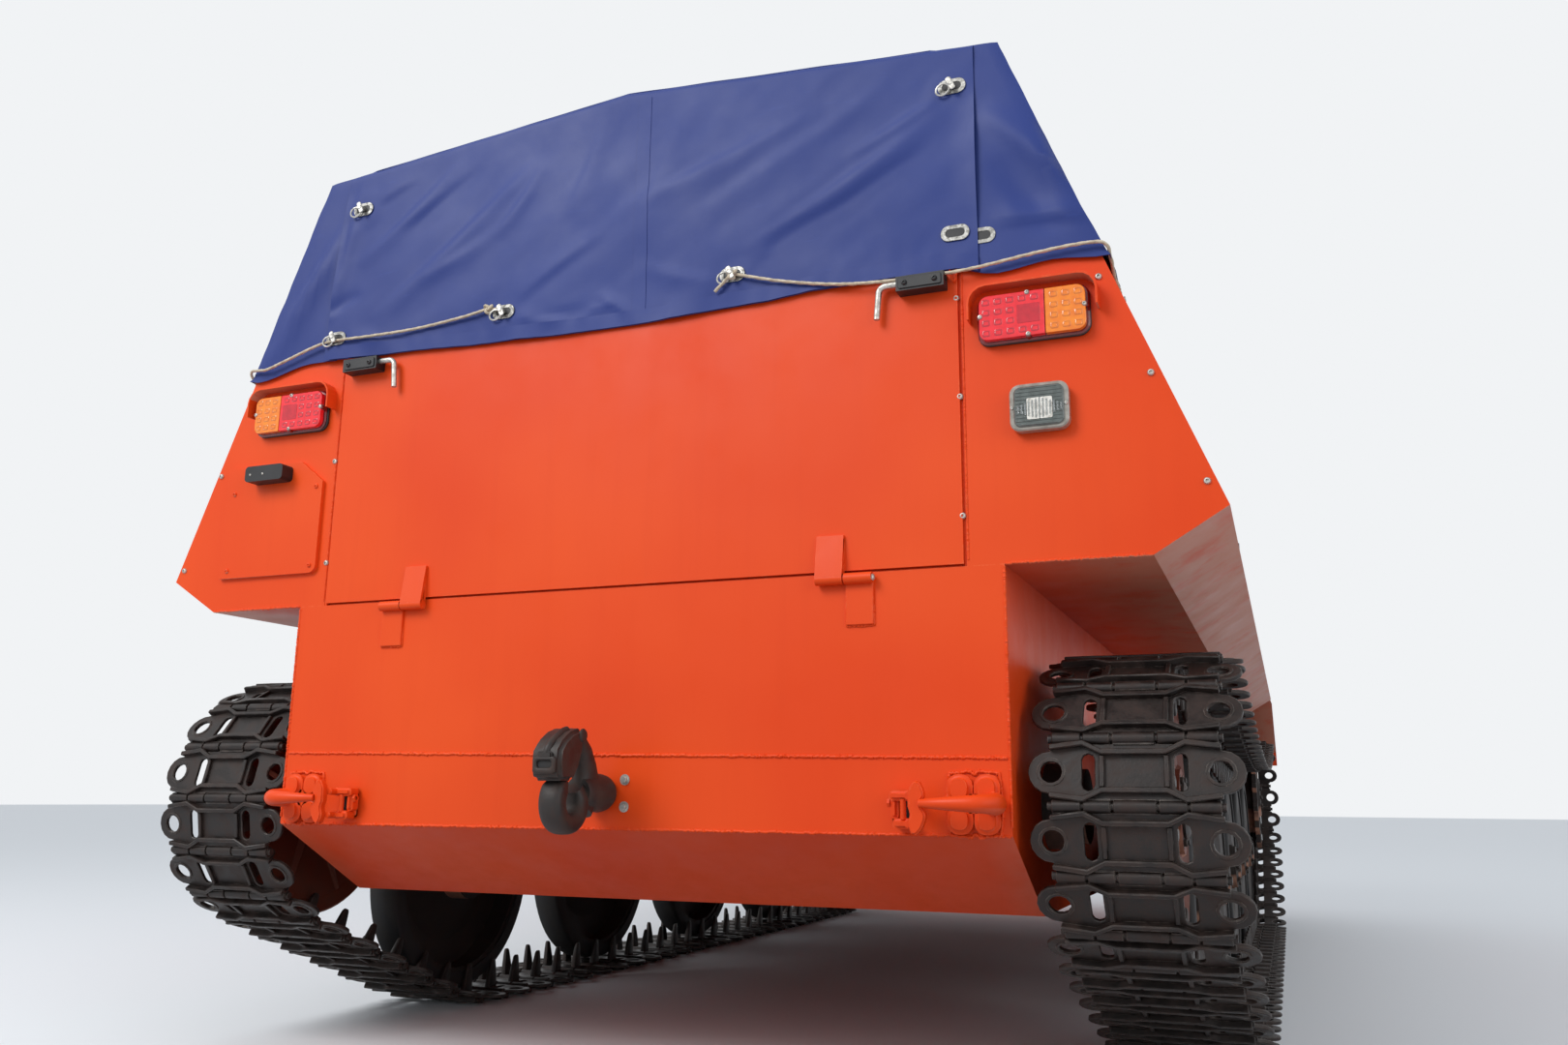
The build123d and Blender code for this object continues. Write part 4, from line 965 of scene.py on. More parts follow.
@dataclass(frozen=True)
class Shoe:
    """One cast shoe of the track, with x across it, y along it and z outward."""

    half: float = 195.0
    waist: float = 150.0
    reach: float = 54.0
    ear: float = 40.0
    hole: float = 21.0
    hole_place: float = 152.0
    slot: Flat = (24.0, 70.0)
    slot_place: float = 83.0
    web: float = 9.0
    knuckle: float = 13.0
    pin: float = 8.0
    grouser: Flat = (10.0, 15.0)
    horn_place: float = 57.0
    horn_high: float = 86.0

    def draw(self, draft: Draft, place: Matrix) -> None:
        """Add the shoe to a mesh at a placement."""
        web, ear = self.web / 2, self.ear
        tip = arc((self.half - ear, 0, ear), -pi / 2, pi / 2, 8)
        outline = [(self.waist - 34, -self.reach), (self.waist - 10, -self.reach + 4), *tip,
                   (self.waist - 10, self.reach - 4), (self.waist - 34, self.reach)]
        outline += [(-x, y) for x, y in outline[::-1]]
        holes = [circle(self.hole, 14, (side * self.hole_place, 0)) for side in (1, -1)]
        holes += [rectangle(*self.slot, 11, 2, (side * self.slot_place, 0)) for side in (1, -1)]
        draft.prism(outline, self.web, place @ shift(0, 0, -web), 1.6, holes)
        self._ridges(draft, place)
        self._knuckles(draft, place)
        self._horns(draft, place)

    def _ridges(self, draft: Draft, place: Matrix) -> None:
        """Bent grousers near both hinges and the rims round the holes."""
        thick, tall = self.grouser
        base = place @ shift(0, 0, self.web / 2 - 1)
        for side in (1, -1):
            line = [(-self.waist - 4, 40), (-92, 48), (-58, 31), (58, 31), (92, 48), (self.waist + 4, 40)]
            outer = [(x, side * (y + thick)) for x, y in line]
            outline = [(x, side * y) for x, y in line] + outer[::-1]
            draft.prism(outline if side > 0 else outline[::-1], tall, base, 1.8)
            draft.prism(rectangle(thick, 60, at=(side * 58, 0)), tall * 0.6, base, 1.8)
        for side in (1, -1):
            rim = circle(self.hole + 6, 14, (side * self.hole_place, 0))
            bore = circle(self.hole, 14, (side * self.hole_place, 0))
            draft.prism(rim, 3, base, 0.8, [bore])

    def _knuckles(self, draft: Draft, place: Matrix) -> None:
        """Hinge knuckles round the pins, alternating between neighbours."""
        rear = ((-150, -97), (-38, 38), (97, 150))
        front = ((-92, -43), (43, 92))
        for y, spans in ((-64, rear), (64, front)):
            turn = place @ shift(0, y, 1) @ Matrix.Rotation(pi / 2, 4, "Y")
            for x0, x1 in spans:
                draft.turned([(0, x0), (self.knuckle - 1.5, x0), (self.knuckle, x0 + 1.5),
                              (self.knuckle, x1 - 1.5), (self.knuckle - 1.5, x1), (0, x1)], turn, 10)
                y0, y1 = sorted((y, y * 0.8))
                draft.box((x0 + 1, y0, -6), (x1 - 1, y1, 8), 0, place)
        turn = place @ shift(0, -64, 1) @ Matrix.Rotation(pi / 2, 4, "Y")
        draft.turned([(0, -158), (self.pin, -158), (self.pin, 158), (0, 158)], turn, 10)

    def _horns(self, draft: Draft, place: Matrix) -> None:
        """Tapered guide horns on the inner face, either side of the wheels."""
        # height, width, length, lean towards the wheel's side
        shape = ((3, 20, 48, 0), (-34, 17, 39, 1), (-64, 14, 27, 3), (-80, 12, 20, 4),
                 (-self.horn_high, 8, 13, 5))
        for side in (1, -1):
            rings = []
            for tall, wide, long, lean in shape:
                middle = (side * (self.horn_place + lean), 0)
                rings.append([(*spot, tall) for spot in rectangle(wide, long, wide * 0.4, 2, middle)])
            draft.loft(rings, place)


@dataclass(frozen=True)
class RunningGear:
    """Tracks, road wheels and idlers of both sides."""

    run: TrackRun = field(default_factory=TrackRun)
    shoe: Shoe = field(default_factory=Shoe)
    middle: float = 1090.0
    wheels: int = 5
    wheel_width: float = 95.0
    tyre: float = 46.0
    idler_width: float = 92.0
    # radius of each circle of bolts and their number
    hub_bolts: tuple[float, int] = (58.0, 8)
    disc_bolts: tuple[float, int] = (105.0, 10)
    idler_bolts: tuple[float, int] = (70.0, 6)
    sprocket_bolts: tuple[float, int] = (62.0, 8)
    drive_bolts: tuple[float, int] = (170.0, 12)

    def build(self) -> None:
        """Make every piece of the running gear."""
        for side, flip in BOTH:
            self._track(side, flip)
        self._tyres()
        self._hubs()
        self._idlers()
        self._drives()

    def _track(self, side: Side, flip: Matrix) -> None:
        """One track as its single shoe, repeated along the pin line."""
        first = Draft("shoe", Kind.TRACK)
        self.shoe.draw(first, Matrix())
        draft = Draft(f"track_run_{side.name.lower()}", Kind.TRACK)
        pins = self.run.pins()
        for a, b in zip(pins, pins[1:] + pins[:1]):
            along = Vector((0, b[0] - a[0], b[1] - a[1])).normalized()
            out = Vector((1, 0, 0)).cross(along)
            turn = Matrix((Vector((-1, 0, 0)), along, -out)).transposed().to_4x4()
            place = shift(self.middle, (a[0] + b[0]) / 2, (a[1] + b[1]) / 2) @ turn
            draft.absorb(first.mesh.copy(), flip @ place)
        first.mesh.free()
        draft.ready([f"track_{side.name.lower()}"], 40)

    def _wheel_places(self) -> list[Matrix]:
        """Placements of the right road wheels, with z outward."""
        _, rear, front, _ = self.run.circles()
        step = (front[0] - rear[0]) / (self.wheels - 1)
        return [frame_at((self.middle, rear[0] + i * step, rear[1]), (1, 0, 0)) for i in range(self.wheels)]

    def _tyres(self) -> None:
        """Rubber bands with rounded shoulders and a worn tread line."""
        half, radius = self.wheel_width / 2, self.run.wheel_radius
        rim = radius - self.tyre
        wall = [(rim, -half), (radius - 14, -half), (radius - 5, -half + 3), (radius - 0.5, -half + 10),
                (radius, 0), (radius - 0.5, half - 10), (radius - 5, half - 3), (radius - 14, half),
                (rim, half), (rim, -half)]
        draft = Draft("road_tyres", Kind.RUBBER)
        for _, flip in BOTH:
            for place in self._wheel_places():
                draft.turned(wall, flip @ place, 72)
        draft.ready(["wheel_tyres"], 40)

    def _hubs(self) -> None:
        """Hub caps with their bolts, and wheel nuts on the discs."""
        caps = Draft("hub_caps", Kind.WHEEL)
        bolts = Draft("hub_bolts", Kind.IRON)
        end = self.wheel_width / 2
        for _, flip in BOTH:
            for place in self._wheel_places():
                caps.turned([(74, end - 1), (74, end + 9), (62, end + 14), (44, end + 15), (38, end + 24),
                             (0, end + 26)], flip @ place, 40)
                for u, v in circle(*self.hub_bolts):
                    bolts.bolt(flip @ place @ shift(u, v, end + 13), 13)
                for u, v in circle(*self.disc_bolts):
                    bolts.bolt(flip @ place @ shift(u, v, 12), 15)
        caps.ready()
        bolts.ready()

    def _idlers(self) -> None:
        """Radial ribs and hub caps of the rear idlers."""
        ribs = Draft("idler_ribs", Kind.IDLER)
        caps = Draft("idler_caps", Kind.IRON)
        half = self.idler_width / 2
        y, z, _ = self.run.idler
        for _, flip in BOTH:
            for face in (1, -1):
                place = flip @ frame_at((self.middle, y, z), (face, 0, 0))
                for i in range(8):
                    turn = place @ Matrix.Rotation(pi * (i + 0.5) / 4, 4, "Z")
                    ribs.loft([[(92, -15, 22), (92, 15, 22), (98, 0, 41)],
                               [(250, -8, half - 14), (250, 8, half - 14), (244, 0, half - 2)]], turn)
            place = flip @ frame_at((self.middle, y, z), (1, 0, 0))
            caps.turned([(58, half + 13), (58, half + 20), (46, half + 26), (0, half + 28)], place, 36)
            for u, v in circle(*self.idler_bolts):
                caps.bolt(place @ shift(u, v, half + 13), 13)
        ribs.ready()
        caps.ready()

    def _drives(self) -> None:
        """Bolts of the sprockets and of the final drives' flanges."""
        bolts = Draft("drive_bolts", Kind.IRON)
        y, z = self.run.sprocket
        for _, flip in BOTH:
            place = flip @ frame_at((self.middle, y, z), (1, 0, 0))
            for u, v in circle(*self.sprocket_bolts):
                bolts.bolt(place @ shift(u, v, 104), 17)
            place = flip @ frame_at((BODY.hull_half + 26, y, z), (1, 0, 0))
            for u, v in circle(*self.drive_bolts):
                bolts.bolt(place @ shift(u, v), 15)
        bolts.ready()


# Load cover


@dataclass(frozen=True)
class Fold:
    """A crease of the cloth along a line on the rear flap."""

    start: Flat
    end: Flat
    width: float
    height: float

    def lift(self, x: float, z: float) -> float:
        """Height of the crease over the cloth at a place."""
        dx, dz = self.end[0] - self.start[0], self.end[1] - self.start[1]
        size = hypot(dx, dz)
        along = ((x - self.start[0]) * dx + (z - self.start[1]) * dz) / size
        across = ((x - self.start[0]) * dz - (z - self.start[1]) * dx) / size
        share = (along + self.width) / (size + 2 * self.width)
        if not 0 < share < 1:
            return 0.0
        bend = across / self.width + 0.5 * sin(3 * share)
        steep = 1.6 if bend > 0 else 0.3
        return self.height * sin(pi * share) ** 0.8 * exp(-steep * bend * bend)


@dataclass(frozen=True)
class LoadCover:
    """Cloth cover of the load bed with its rear flap, eyelets and lacing rope."""

    shoulder: float = box_mm("load_cover")[1][2] - 72.0
    ridge: float = box_mm("load_cover")[1][2]
    front: float = box_mm("load_cover")[1][1]
    rear: float = -9.0
    stand_off: float = 9.0
    side_hem: float = BODY.rail_height - 48.0
    bows: tuple[float, ...] = (60.0, 1080.0, 2100.0, 3120.0)
    sag: float = 11.0
    cloth: float = 1.6
    flap_edges: Flat = (-838.0, 838.0)
    rope_radius: float = 3.5
    hem_height: float = 1672.0
    strip: float = 215.0
    flap_sink: float = -2.5
    rope_stations: range = range(190, 3110, 195)
    hem: tuple[Flat, ...] = (
        (-1071, 1660), (-900, 1691), (-636, 1683), (-326, 1672), (-138, 1666), (43, 1665), (343, 1673),
        (492, 1682), (784, 1683), (874, 1662), (990, 1675), (1087, 1666))
    folds: tuple[Fold, ...] = (
        Fold((-480, 2165), (-760, 1950), 17, 6), Fold((-250, 2130), (-700, 1790), 19, 7),
        Fold((-230, 2110), (-345, 1960), 14, 5), Fold((-330, 1975), (-560, 1870), 16, 5),
        Fold((-791, 2173), (-843, 1811), 15, 6), Fold((-843, 1813), (-760, 1850), 12, -5),
        Fold((770, 2050), (330, 1815), 20, 7), Fold((735, 1975), (379, 1800), 17, -4),
        Fold((480, 2110), (-10, 1960), 20, 5), Fold((370, 1800), (560, 1850), 13, -4),
        Fold((-60, 2195), (-150, 1980), 22, 4), Fold((150, 2190), (30, 1900), 24, 3),
        Fold((640, 2140), (160, 1900), 24, 4), Fold((-300, 1760), (-60, 1900), 18, 5),
        Fold((270, 1735), (60, 1810), 14, 4), Fold((-819, 1745), (-640, 1700), 13, 4),
        Fold((785, 2095), (560, 1990), 13, 5), Fold((-760, 2090), (-600, 2150), 13, 3),
        Fold((-330, 1735), (-150, 1690), 11, 4), Fold((-250, 1720), (-30, 1700), 9, -4),
        Fold((-60, 1750), (30, 1680), 9, 5), Fold((-110, 1700), (-20, 1720), 8, 4),
        Fold((300, 1735), (480, 1700), 11, -4), Fold((-420, 2140), (-640, 2010), 15, -4),
    )
    corner_folds: tuple[Fold, ...] = (
        Fold((860, 2020), (1070, 1770), 22, 15), Fold((1020, 1860), (1085, 1725), 17, 10),
        Fold((880, 1778), (1075, 1750), 16, 9), Fold((-815, 2080), (-1020, 1790), 18, 12),
        Fold((-870, 1970), (-1060, 1690), 18, 10), Fold((880, 1900), (980, 1730), 20, -9),
    )
    eyelets: tuple[Flat, ...] = ((-766, 2092), (-819, 1745), (-316, 1746), (284, 1749), (791, 2101))
    open_eyelet: Flat = (791, 1763)
    corner_eyelet: Flat = (844, 1750)
    side_eyelets: tuple[float, ...] = tuple(190.0 + 390.0 * i for i in range(8))

    def build(self) -> None:
        """Make the cover, its fittings and its rope."""
        tent = self._tent()
        flap = self._flap()
        self._fittings()
        self._rope()
        self._seams()
        for piece, (area, flat) in ((tent, self._tent_cut()), (flap, self._flap_cut())):
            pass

    def roof(self, x: float) -> float:
        """Height of the roof's outside over x."""
        return self.ridge - abs(x) / self.half(self.shoulder) * (self.ridge - self.shoulder)

    def half(self, height: float) -> float:
        """Half width of the cover's outside at a height."""
        return BODY.side_x(height) + self.stand_off * hypot(1, BODY.lean)

    def hem_at(self, x: float) -> float:
        """Height of the rear hem over x."""
        points = self.hem
        for (x0, z0), (x1, z1) in zip(points, points[1:]):
            if x <= x1:
                share = max(0.0, (x - x0) / (x1 - x0))
                share = share * share * (3 - 2 * share)
                return z0 + (z1 - z0) * share
        return points[-1][1]

    def ripple(self, spot: Vector, size: float, seed: float) -> float:
        """Smooth wandering value from -1 to 1 with waves of about size millimetres."""
        return noise.noise(spot / size + Vector((seed, seed * 0.7, -seed)))

    def _tent(self) -> bpy.types.Object:
        """Roof, sides, front end and rear corner strips as one cloth."""
        rows, roof_cells, rear_cells = 36, 60, 10
        low, high = self.side_hem, self.shoulder
        top = self.half(high)
        heights = [low + (high - low) * i / rows for i in range(rows)]
        across = [top * (1 - i / roof_cells) for i in range(roof_cells + 1)]
        section = [(self.half(z), z) for z in heights] + [(x, self.roof(x)) for x in across]
        section += [(-x, z) for x, z in section[-2::-1]]
        count = 84
        stations = [self.rear + (self.front - self.rear) * i / count for i in range(count + 1)]
        draft = Draft("cover_tent", Kind.CLOTH)
        draft.surface([[(x, y, z) for x, z in section] for y in stations])
        for side in (1, -1):
            strip = []
            for up in (i / rows for i in range(rows + 1)):
                row = []
                for x_top in across[:rear_cells + 1]:
                    x = self.half(low + (high - low) * up) + (x_top - top) * (1.9 - 0.9 * up)
                    row.append((side * x, self.rear, low + (self.roof(x_top) - low) * up))
                strip.append(row[::side])
            draft.surface(strip)
        end = []
        shares = [1 - j / roof_cells for j in range(2 * roof_cells + 1)]
        for up in (i / rows for i in range(rows + 1)):
            outer = self.half(low + (high - low) * up)
            end.append([(outer * s, self.front, low + (self.roof(top * s) - low) * up) for s in shares])
        draft.surface(end)
        mesh = draft.mesh
        bmesh.ops.remove_doubles(mesh, verts=mesh.verts[:], dist=0.6)
        bmesh.ops.recalc_face_normals(mesh, faces=mesh.faces[:])
        edge = [v for v in mesh.verts if not v.is_boundary and max(
            (e.calc_face_angle(0) for e in v.link_edges if len(e.link_faces) == 2), default=0) > 0.35]
        bmesh.ops.smooth_vert(mesh, verts=edge, factor=0.3, use_axis_x=True, use_axis_y=True, use_axis_z=True)
        mesh.normal_update()
        for vert, move in [(v, v.normal * self._tent_lift(v.co)) for v in mesh.verts]:
            vert.co += move
            self._trim(vert)
        self._thicken(mesh)
        return draft.ready(["load_cover"], 60)

    def _tent_lift(self, spot: Vector) -> float:
        """Outward movement of the tent's cloth at a place."""
        x, y, z = spot
        if y < self.rear + 2:
            return sum(fold.lift(x, z) for fold in self.corner_folds) + 1.5 * self.ripple(spot, 120, 3.1)
        after = max((b for b in self.bows if b <= y), default=self.bows[0])
        before = min((b for b in self.bows if b >= y), default=self.bows[-1])
        between = sin(pi * (y - after) / max(before - after, 1)) ** 2 if before > after else 0
        if z > self.shoulder - 4:
            slack = sin(pi * min(1, abs(x) / self.half(self.shoulder))) * between
            lift = -self.sag * slack + 2.5 * self.ripple(Vector((x, y * 0.5, z)), 240, 1.7)
        else:
            up = (z - self.side_hem) / (self.shoulder - self.side_hem)
            lift = -6 * between * sin(pi * up)
            lift += 5 * self.ripple(Vector((x * 0.3, y, z * 0.35)), 170, 5.3) * (1.1 - up)
            lift += 2 * self.ripple(spot, 70, 8.9)
        return lift + 1.2 * self.ripple(spot, 45, 4.2)

    def _trim(self, vert: bmesh.types.BMVert) -> None:
        """Follow the hem's own line at the bottom edge."""
        x, y, z = vert.co
        low = self.side_hem
        if y < self.rear + 12 and abs(x) < self.half(low) - 2:
            want = self.hem_at(x)
            share = max(0.0, 1 - (z - low) / 130)
            vert.co.z += (want - low) * share
        elif z < self.shoulder - 8:
            near = max(0.0, 1 - max(0.0, y - self.rear) / 160)
            want = 15 * near + 3 * sin(y / 62) * (1 - near)
            vert.co.z += want * max(0.0, 1 - (z - low) / 130)

    def _thicken(self, mesh: bmesh.types.BMesh) -> None:
        """Give the cloth its thickness, on its inner side."""
        bmesh.ops.solidify(mesh, geom=mesh.faces[:], thickness=self.cloth)

    def _tent_cut(self) -> tuple[float, Flat]:
        """Flat area and size of the tent's cloth in metres."""
        hem, shoulder = self.side_hem, self.shoulder
        low, high = self.half(hem), self.half(shoulder)
        over = 2 * (dist((low, hem), (high, shoulder)) + dist((high, shoulder), (0, self.ridge)))
        long = self.front - self.rear
        end = (low + high) * (shoulder + (self.ridge - shoulder) / 2 - hem)
        strips = 2 * self.strip * (shoulder - hem)
        area = (over * long + end + strips) * MM**2
        return round(area, 3), (round(over * MM, 3), round((long + 2 * (self.ridge - hem)) * MM, 3))

    def _flap_cut(self) -> tuple[float, Flat]:
        """Flat area and size of the rear flap in metres."""
        width = (self.flap_edges[1] - self.flap_edges[0]) * MM
        length = (self.ridge - self.hem_height + 45) * MM
        return round(width * length * 0.965, 3), (round(width, 3), round(length, 3))

    def flap_lift(self, x: float, z: float) -> float:
        """Distance of the rear flap's cloth from its flat place, rearward positive."""
        for a, b in (*self.eyelets, self.open_eyelet):
            if 0 < hypot(x - a, z - b) < 62:
                share = min(1.0, max(0.0, (hypot(x - a, z - b) - 34) / 28))
                return self.flap_lift(a, b) * (1 - share) + self._folded(x, z) * share
        return self._folded(x, z)

    def _flap_out(self, x: float, z: float) -> float:
        """The flap's lift, kept clear of the strips behind it."""
        return max(self.flap_sink, self.flap_lift(x, z))

    def _folded(self, x: float, z: float) -> float:
        """Creases and ripples of the flap, before it is calmed round the eyelets."""
        lift = sum(fold.lift(x, z) for fold in self.folds)
        loose = 1 - min(1.0, max(0.0, (z - 1680) / 480))
        along, across = 0.83 * x + 0.56 * z, 0.83 * z - 0.56 * x
        lift += (2.2 + 2.5 * loose) * self.ripple(Vector((along * 0.28, across, 0)), 110, 2.3)
        lift += 1.2 * self.ripple(Vector((along * 0.4, across, 0)), 46, 6.1)
        hem = max(0.0, 1 - (z - self.hem_at(x)) / 110)
        lift += 2.4 * hem * self.ripple(Vector((x, 0, z * 0.6)), 34, 9.7)
        edge = max(0.0, 1 - abs(x - self.flap_edges[1]) / 60)
        lift += 7 * edge**2 * sin(pi * min(1, max(0, (z - 1750) / 360)))
        edge = max(0.0, 1 - abs(x - self.flap_edges[0]) / 40)
        return lift + 7 * edge**2 * sin(pi * min(1, max(0, (z - 1720) / 420)))

    def _flap(self) -> bpy.types.Object:
        """Rear flap that hangs from the roof's edge over the corner strips."""
        left, right = self.flap_edges
        columns, rows, radius = 160, 56, 15.0
        out = self.rear - 5.0
        shares = [j / columns for j in range(columns + 1)]
        lines = []
        for up in (i / rows for i in range(rows + 1)):
            row = []
            for share in shares:
                x = left + (right - left) * share
                low, high = self.hem_at(x), self.roof(x) + 2 - radius
                z = low + (high - low) * up
                lean = 34 * (up - 0.5) * (1 - share) ** 8
                row.append((x + lean, out - self._flap_out(x, z), z))
            lines.append(row)
        for a in (pi / 8 * i for i in range(1, 5)):
            row = []
            for share in shares:
                x = left + (right - left) * share
                y = out + radius * (1 - cos(a)) - self._flap_out(x, self.roof(x)) * cos(a)
                lean = 17 * (1 - share) ** 8
                row.append((x + lean, y, self.roof(x) + 2 - radius + radius * sin(a)))
            lines.append(row)
        for reach in (20, 42):
            lines.append([(x, out + radius + reach, z + 0.5) for x, _, z in lines[-1]])
        draft = Draft("cover_rear_flap", Kind.CLOTH)
        draft.surface(lines)
        bmesh.ops.recalc_face_normals(draft.mesh, faces=draft.mesh.faces[:])
        self._thicken(draft.mesh)
        return draft.ready((), 60)

    def _seams(self) -> None:
        """Welded hem bands and the flap's middle seam, as a second layer of cloth."""
        draft = Draft("cover_seams", Kind.CLOTH)
        out = self.rear - 6.2
        # left and right edge, top (or none for the hem's band), rows, columns
        for x0, x1, top, rows, columns in ((32, 66, 2236, 40, 2), (*self.flap_edges, None, 2, 140)):
            lines = []
            for i in range(rows + 1):
                row = []
                for j in range(columns + 1):
                    x = x0 + (x1 - x0) * j / columns
                    low = self.hem_at(x) + 1
                    z = low + ((top or low + 34) - low) * i / rows
                    row.append((x, out - self._flap_out(x, z), z))
                lines.append(row)
            draft.surface(lines)
        bmesh.ops.recalc_face_normals(draft.mesh, faces=draft.mesh.faces[:])
        self._thicken(draft.mesh)
        draft.ready((), 60)

    def _flap_spot(self, x: float, z: float, proud: float) -> Matrix:
        """Placement on the flap's cloth."""
        return on_rear(x, z, -(self.rear - 5.0) + self._flap_out(x, z) + proud)

    def _fittings(self) -> None:
        """Oval eyelets with their turn-button staples, and round eyelets along the side hems; the oval
        eyelets' openings are black discs of painted shade.
        """
        rings = Draft("cover_eyelets", Kind.NICKEL)
        staples = Draft("cover_staples", Kind.ZINC)
        holes = Draft("eyelet_hole_shade", Kind.PLASTIC)
        outer, inner = rectangle(61, 35, 17, 8), rectangle(41, 18, 9, 8)
        for x, z in (*self.eyelets, self.open_eyelet, self.corner_eyelet):
            place = self._flap_spot(x, z, 1.2)
            if (x, z) == self.corner_eyelet:
                place = on_rear(x, z, 0.2 - self.rear + self._tent_lift(Vector((x, self.rear, z))))
            rings.prism(outer, 2.4, place, 1.1, [inner])
            # black disc in the eyelet's opening, where the cloth is not cut: painted shade for the hole
            holes.prism(inner, 1.0, place)
            if (x, z) not in self.eyelets:
                continue
            turn = place @ Matrix.Rotation(radians(25), 4, "Z")
            staples.prism(rectangle(13, 32, 5), 4, turn @ shift(0, 0, 13), 1.5)
            staples.turned([(6, 0), (6, 17), (4, 19), (0, 19)], turn, 14)
            loop = [(-20 + 15 * u, 11 * v, 9 + 3 * v) for u, v in circle(1, 24)]
            staples.tube(loop, 2.2, 8, turn, closed=True)
        holes.ready()
        for _, flip in BOTH:
            for y in self.side_eyelets:
                place = flip @ on_side(y, self.side_hem + 34, self.stand_off + 4)
                rings.prism(circle(13, 20), 2.2, place, 0.9, [circle(7, 20)])
        rings.ready()
        staples.ready()

    def rope_lines(self) -> list[list[Vector]]:
        """Centrelines of the lacing rope, right and left."""
        out = self.rear - 13
        right = [(245, 1711), (269, 1732), (287, 1746), (311, 1740), (401, 1713), (509, 1689), (606, 1677),
                 (726, 1673), (828, 1675), (957, 1688), (1043, 1693)]
        left = [(-312, 1743), (-354, 1756), (-432, 1746), (-565, 1736), (-699, 1733), (-814, 1737),
                (-877, 1731), (-976, 1703), (-1037, 1687)]
        lines = []
        for sign, known in ((1, right), (-1, left)):
            line = [(x, out - max(0.0, self.flap_lift(x, z)) * (abs(x) < 850), z) for x, z in known]
            low = self.side_hem - 11
            for y, z in ((-16, 1690), (10, 1668), (60, low + 6), (110, low)):
                line.append((sign * (BODY.side_x(z) + (14 if y < 50 else 6)), y, z))
            for i, y in enumerate(self.rope_stations):
                z = low + (0 if i % 2 else 5)
                line.append((sign * (BODY.side_x(z) + 5.5), y, z))
            lines.append([Vector(spot) for spot in line])
        return lines

    def _rope(self) -> None:
        """Lacing rope with its knots, and the hooks that hold it down the sides."""
        draft = Draft("lacing_rope", Kind.ROPE)
        hooks = Draft("rope_hooks", Kind.ZINC)
        for known in self.rope_lines():
            draft.tube(spline(known, 4.5), self.rope_radius, 9, shape=self._strands)
            flip, start = (Matrix.Identity(4), known[2]) if known[0].x > 0 else (MIRROR, known[1])
            for y in self.rope_stations[::2]:
                hooks.tube(bent([(-9, 2, -2), (-9, 2, 10), (0, 12, 13), (9, 2, 10), (9, 2, -2)], 4), 1.8, 7,
                           flip @ on_side(y, self.side_hem - 12, 0))
                hooks.prism(rectangle(30, 12, 4), 2, flip @ on_side(y, self.side_hem - 14, 0), 0.6)
            knot = []
            for t in (2 * pi * k / 60 for k in range(60)):
                x, z = 4.5 * (sin(t) + 1.6 * sin(2 * t)), 4.5 * (cos(t) - 1.6 * cos(2 * t))
                knot.append(start + Vector((x, -3 - 4 * sin(3 * t), z)))
            draft.tube(knot, self.rope_radius, 9, closed=True, shape=self._strands)
        draft.ready(["cover_rope"], 70)
        hooks.ready()

    @staticmethod
    def _strands(step: int, angle: float) -> float:
        """Factor on the rope's radius that draws its three twisted strands."""
        return 1 + 0.16 * cos(3 * angle + step * 0.9)


# Rear end


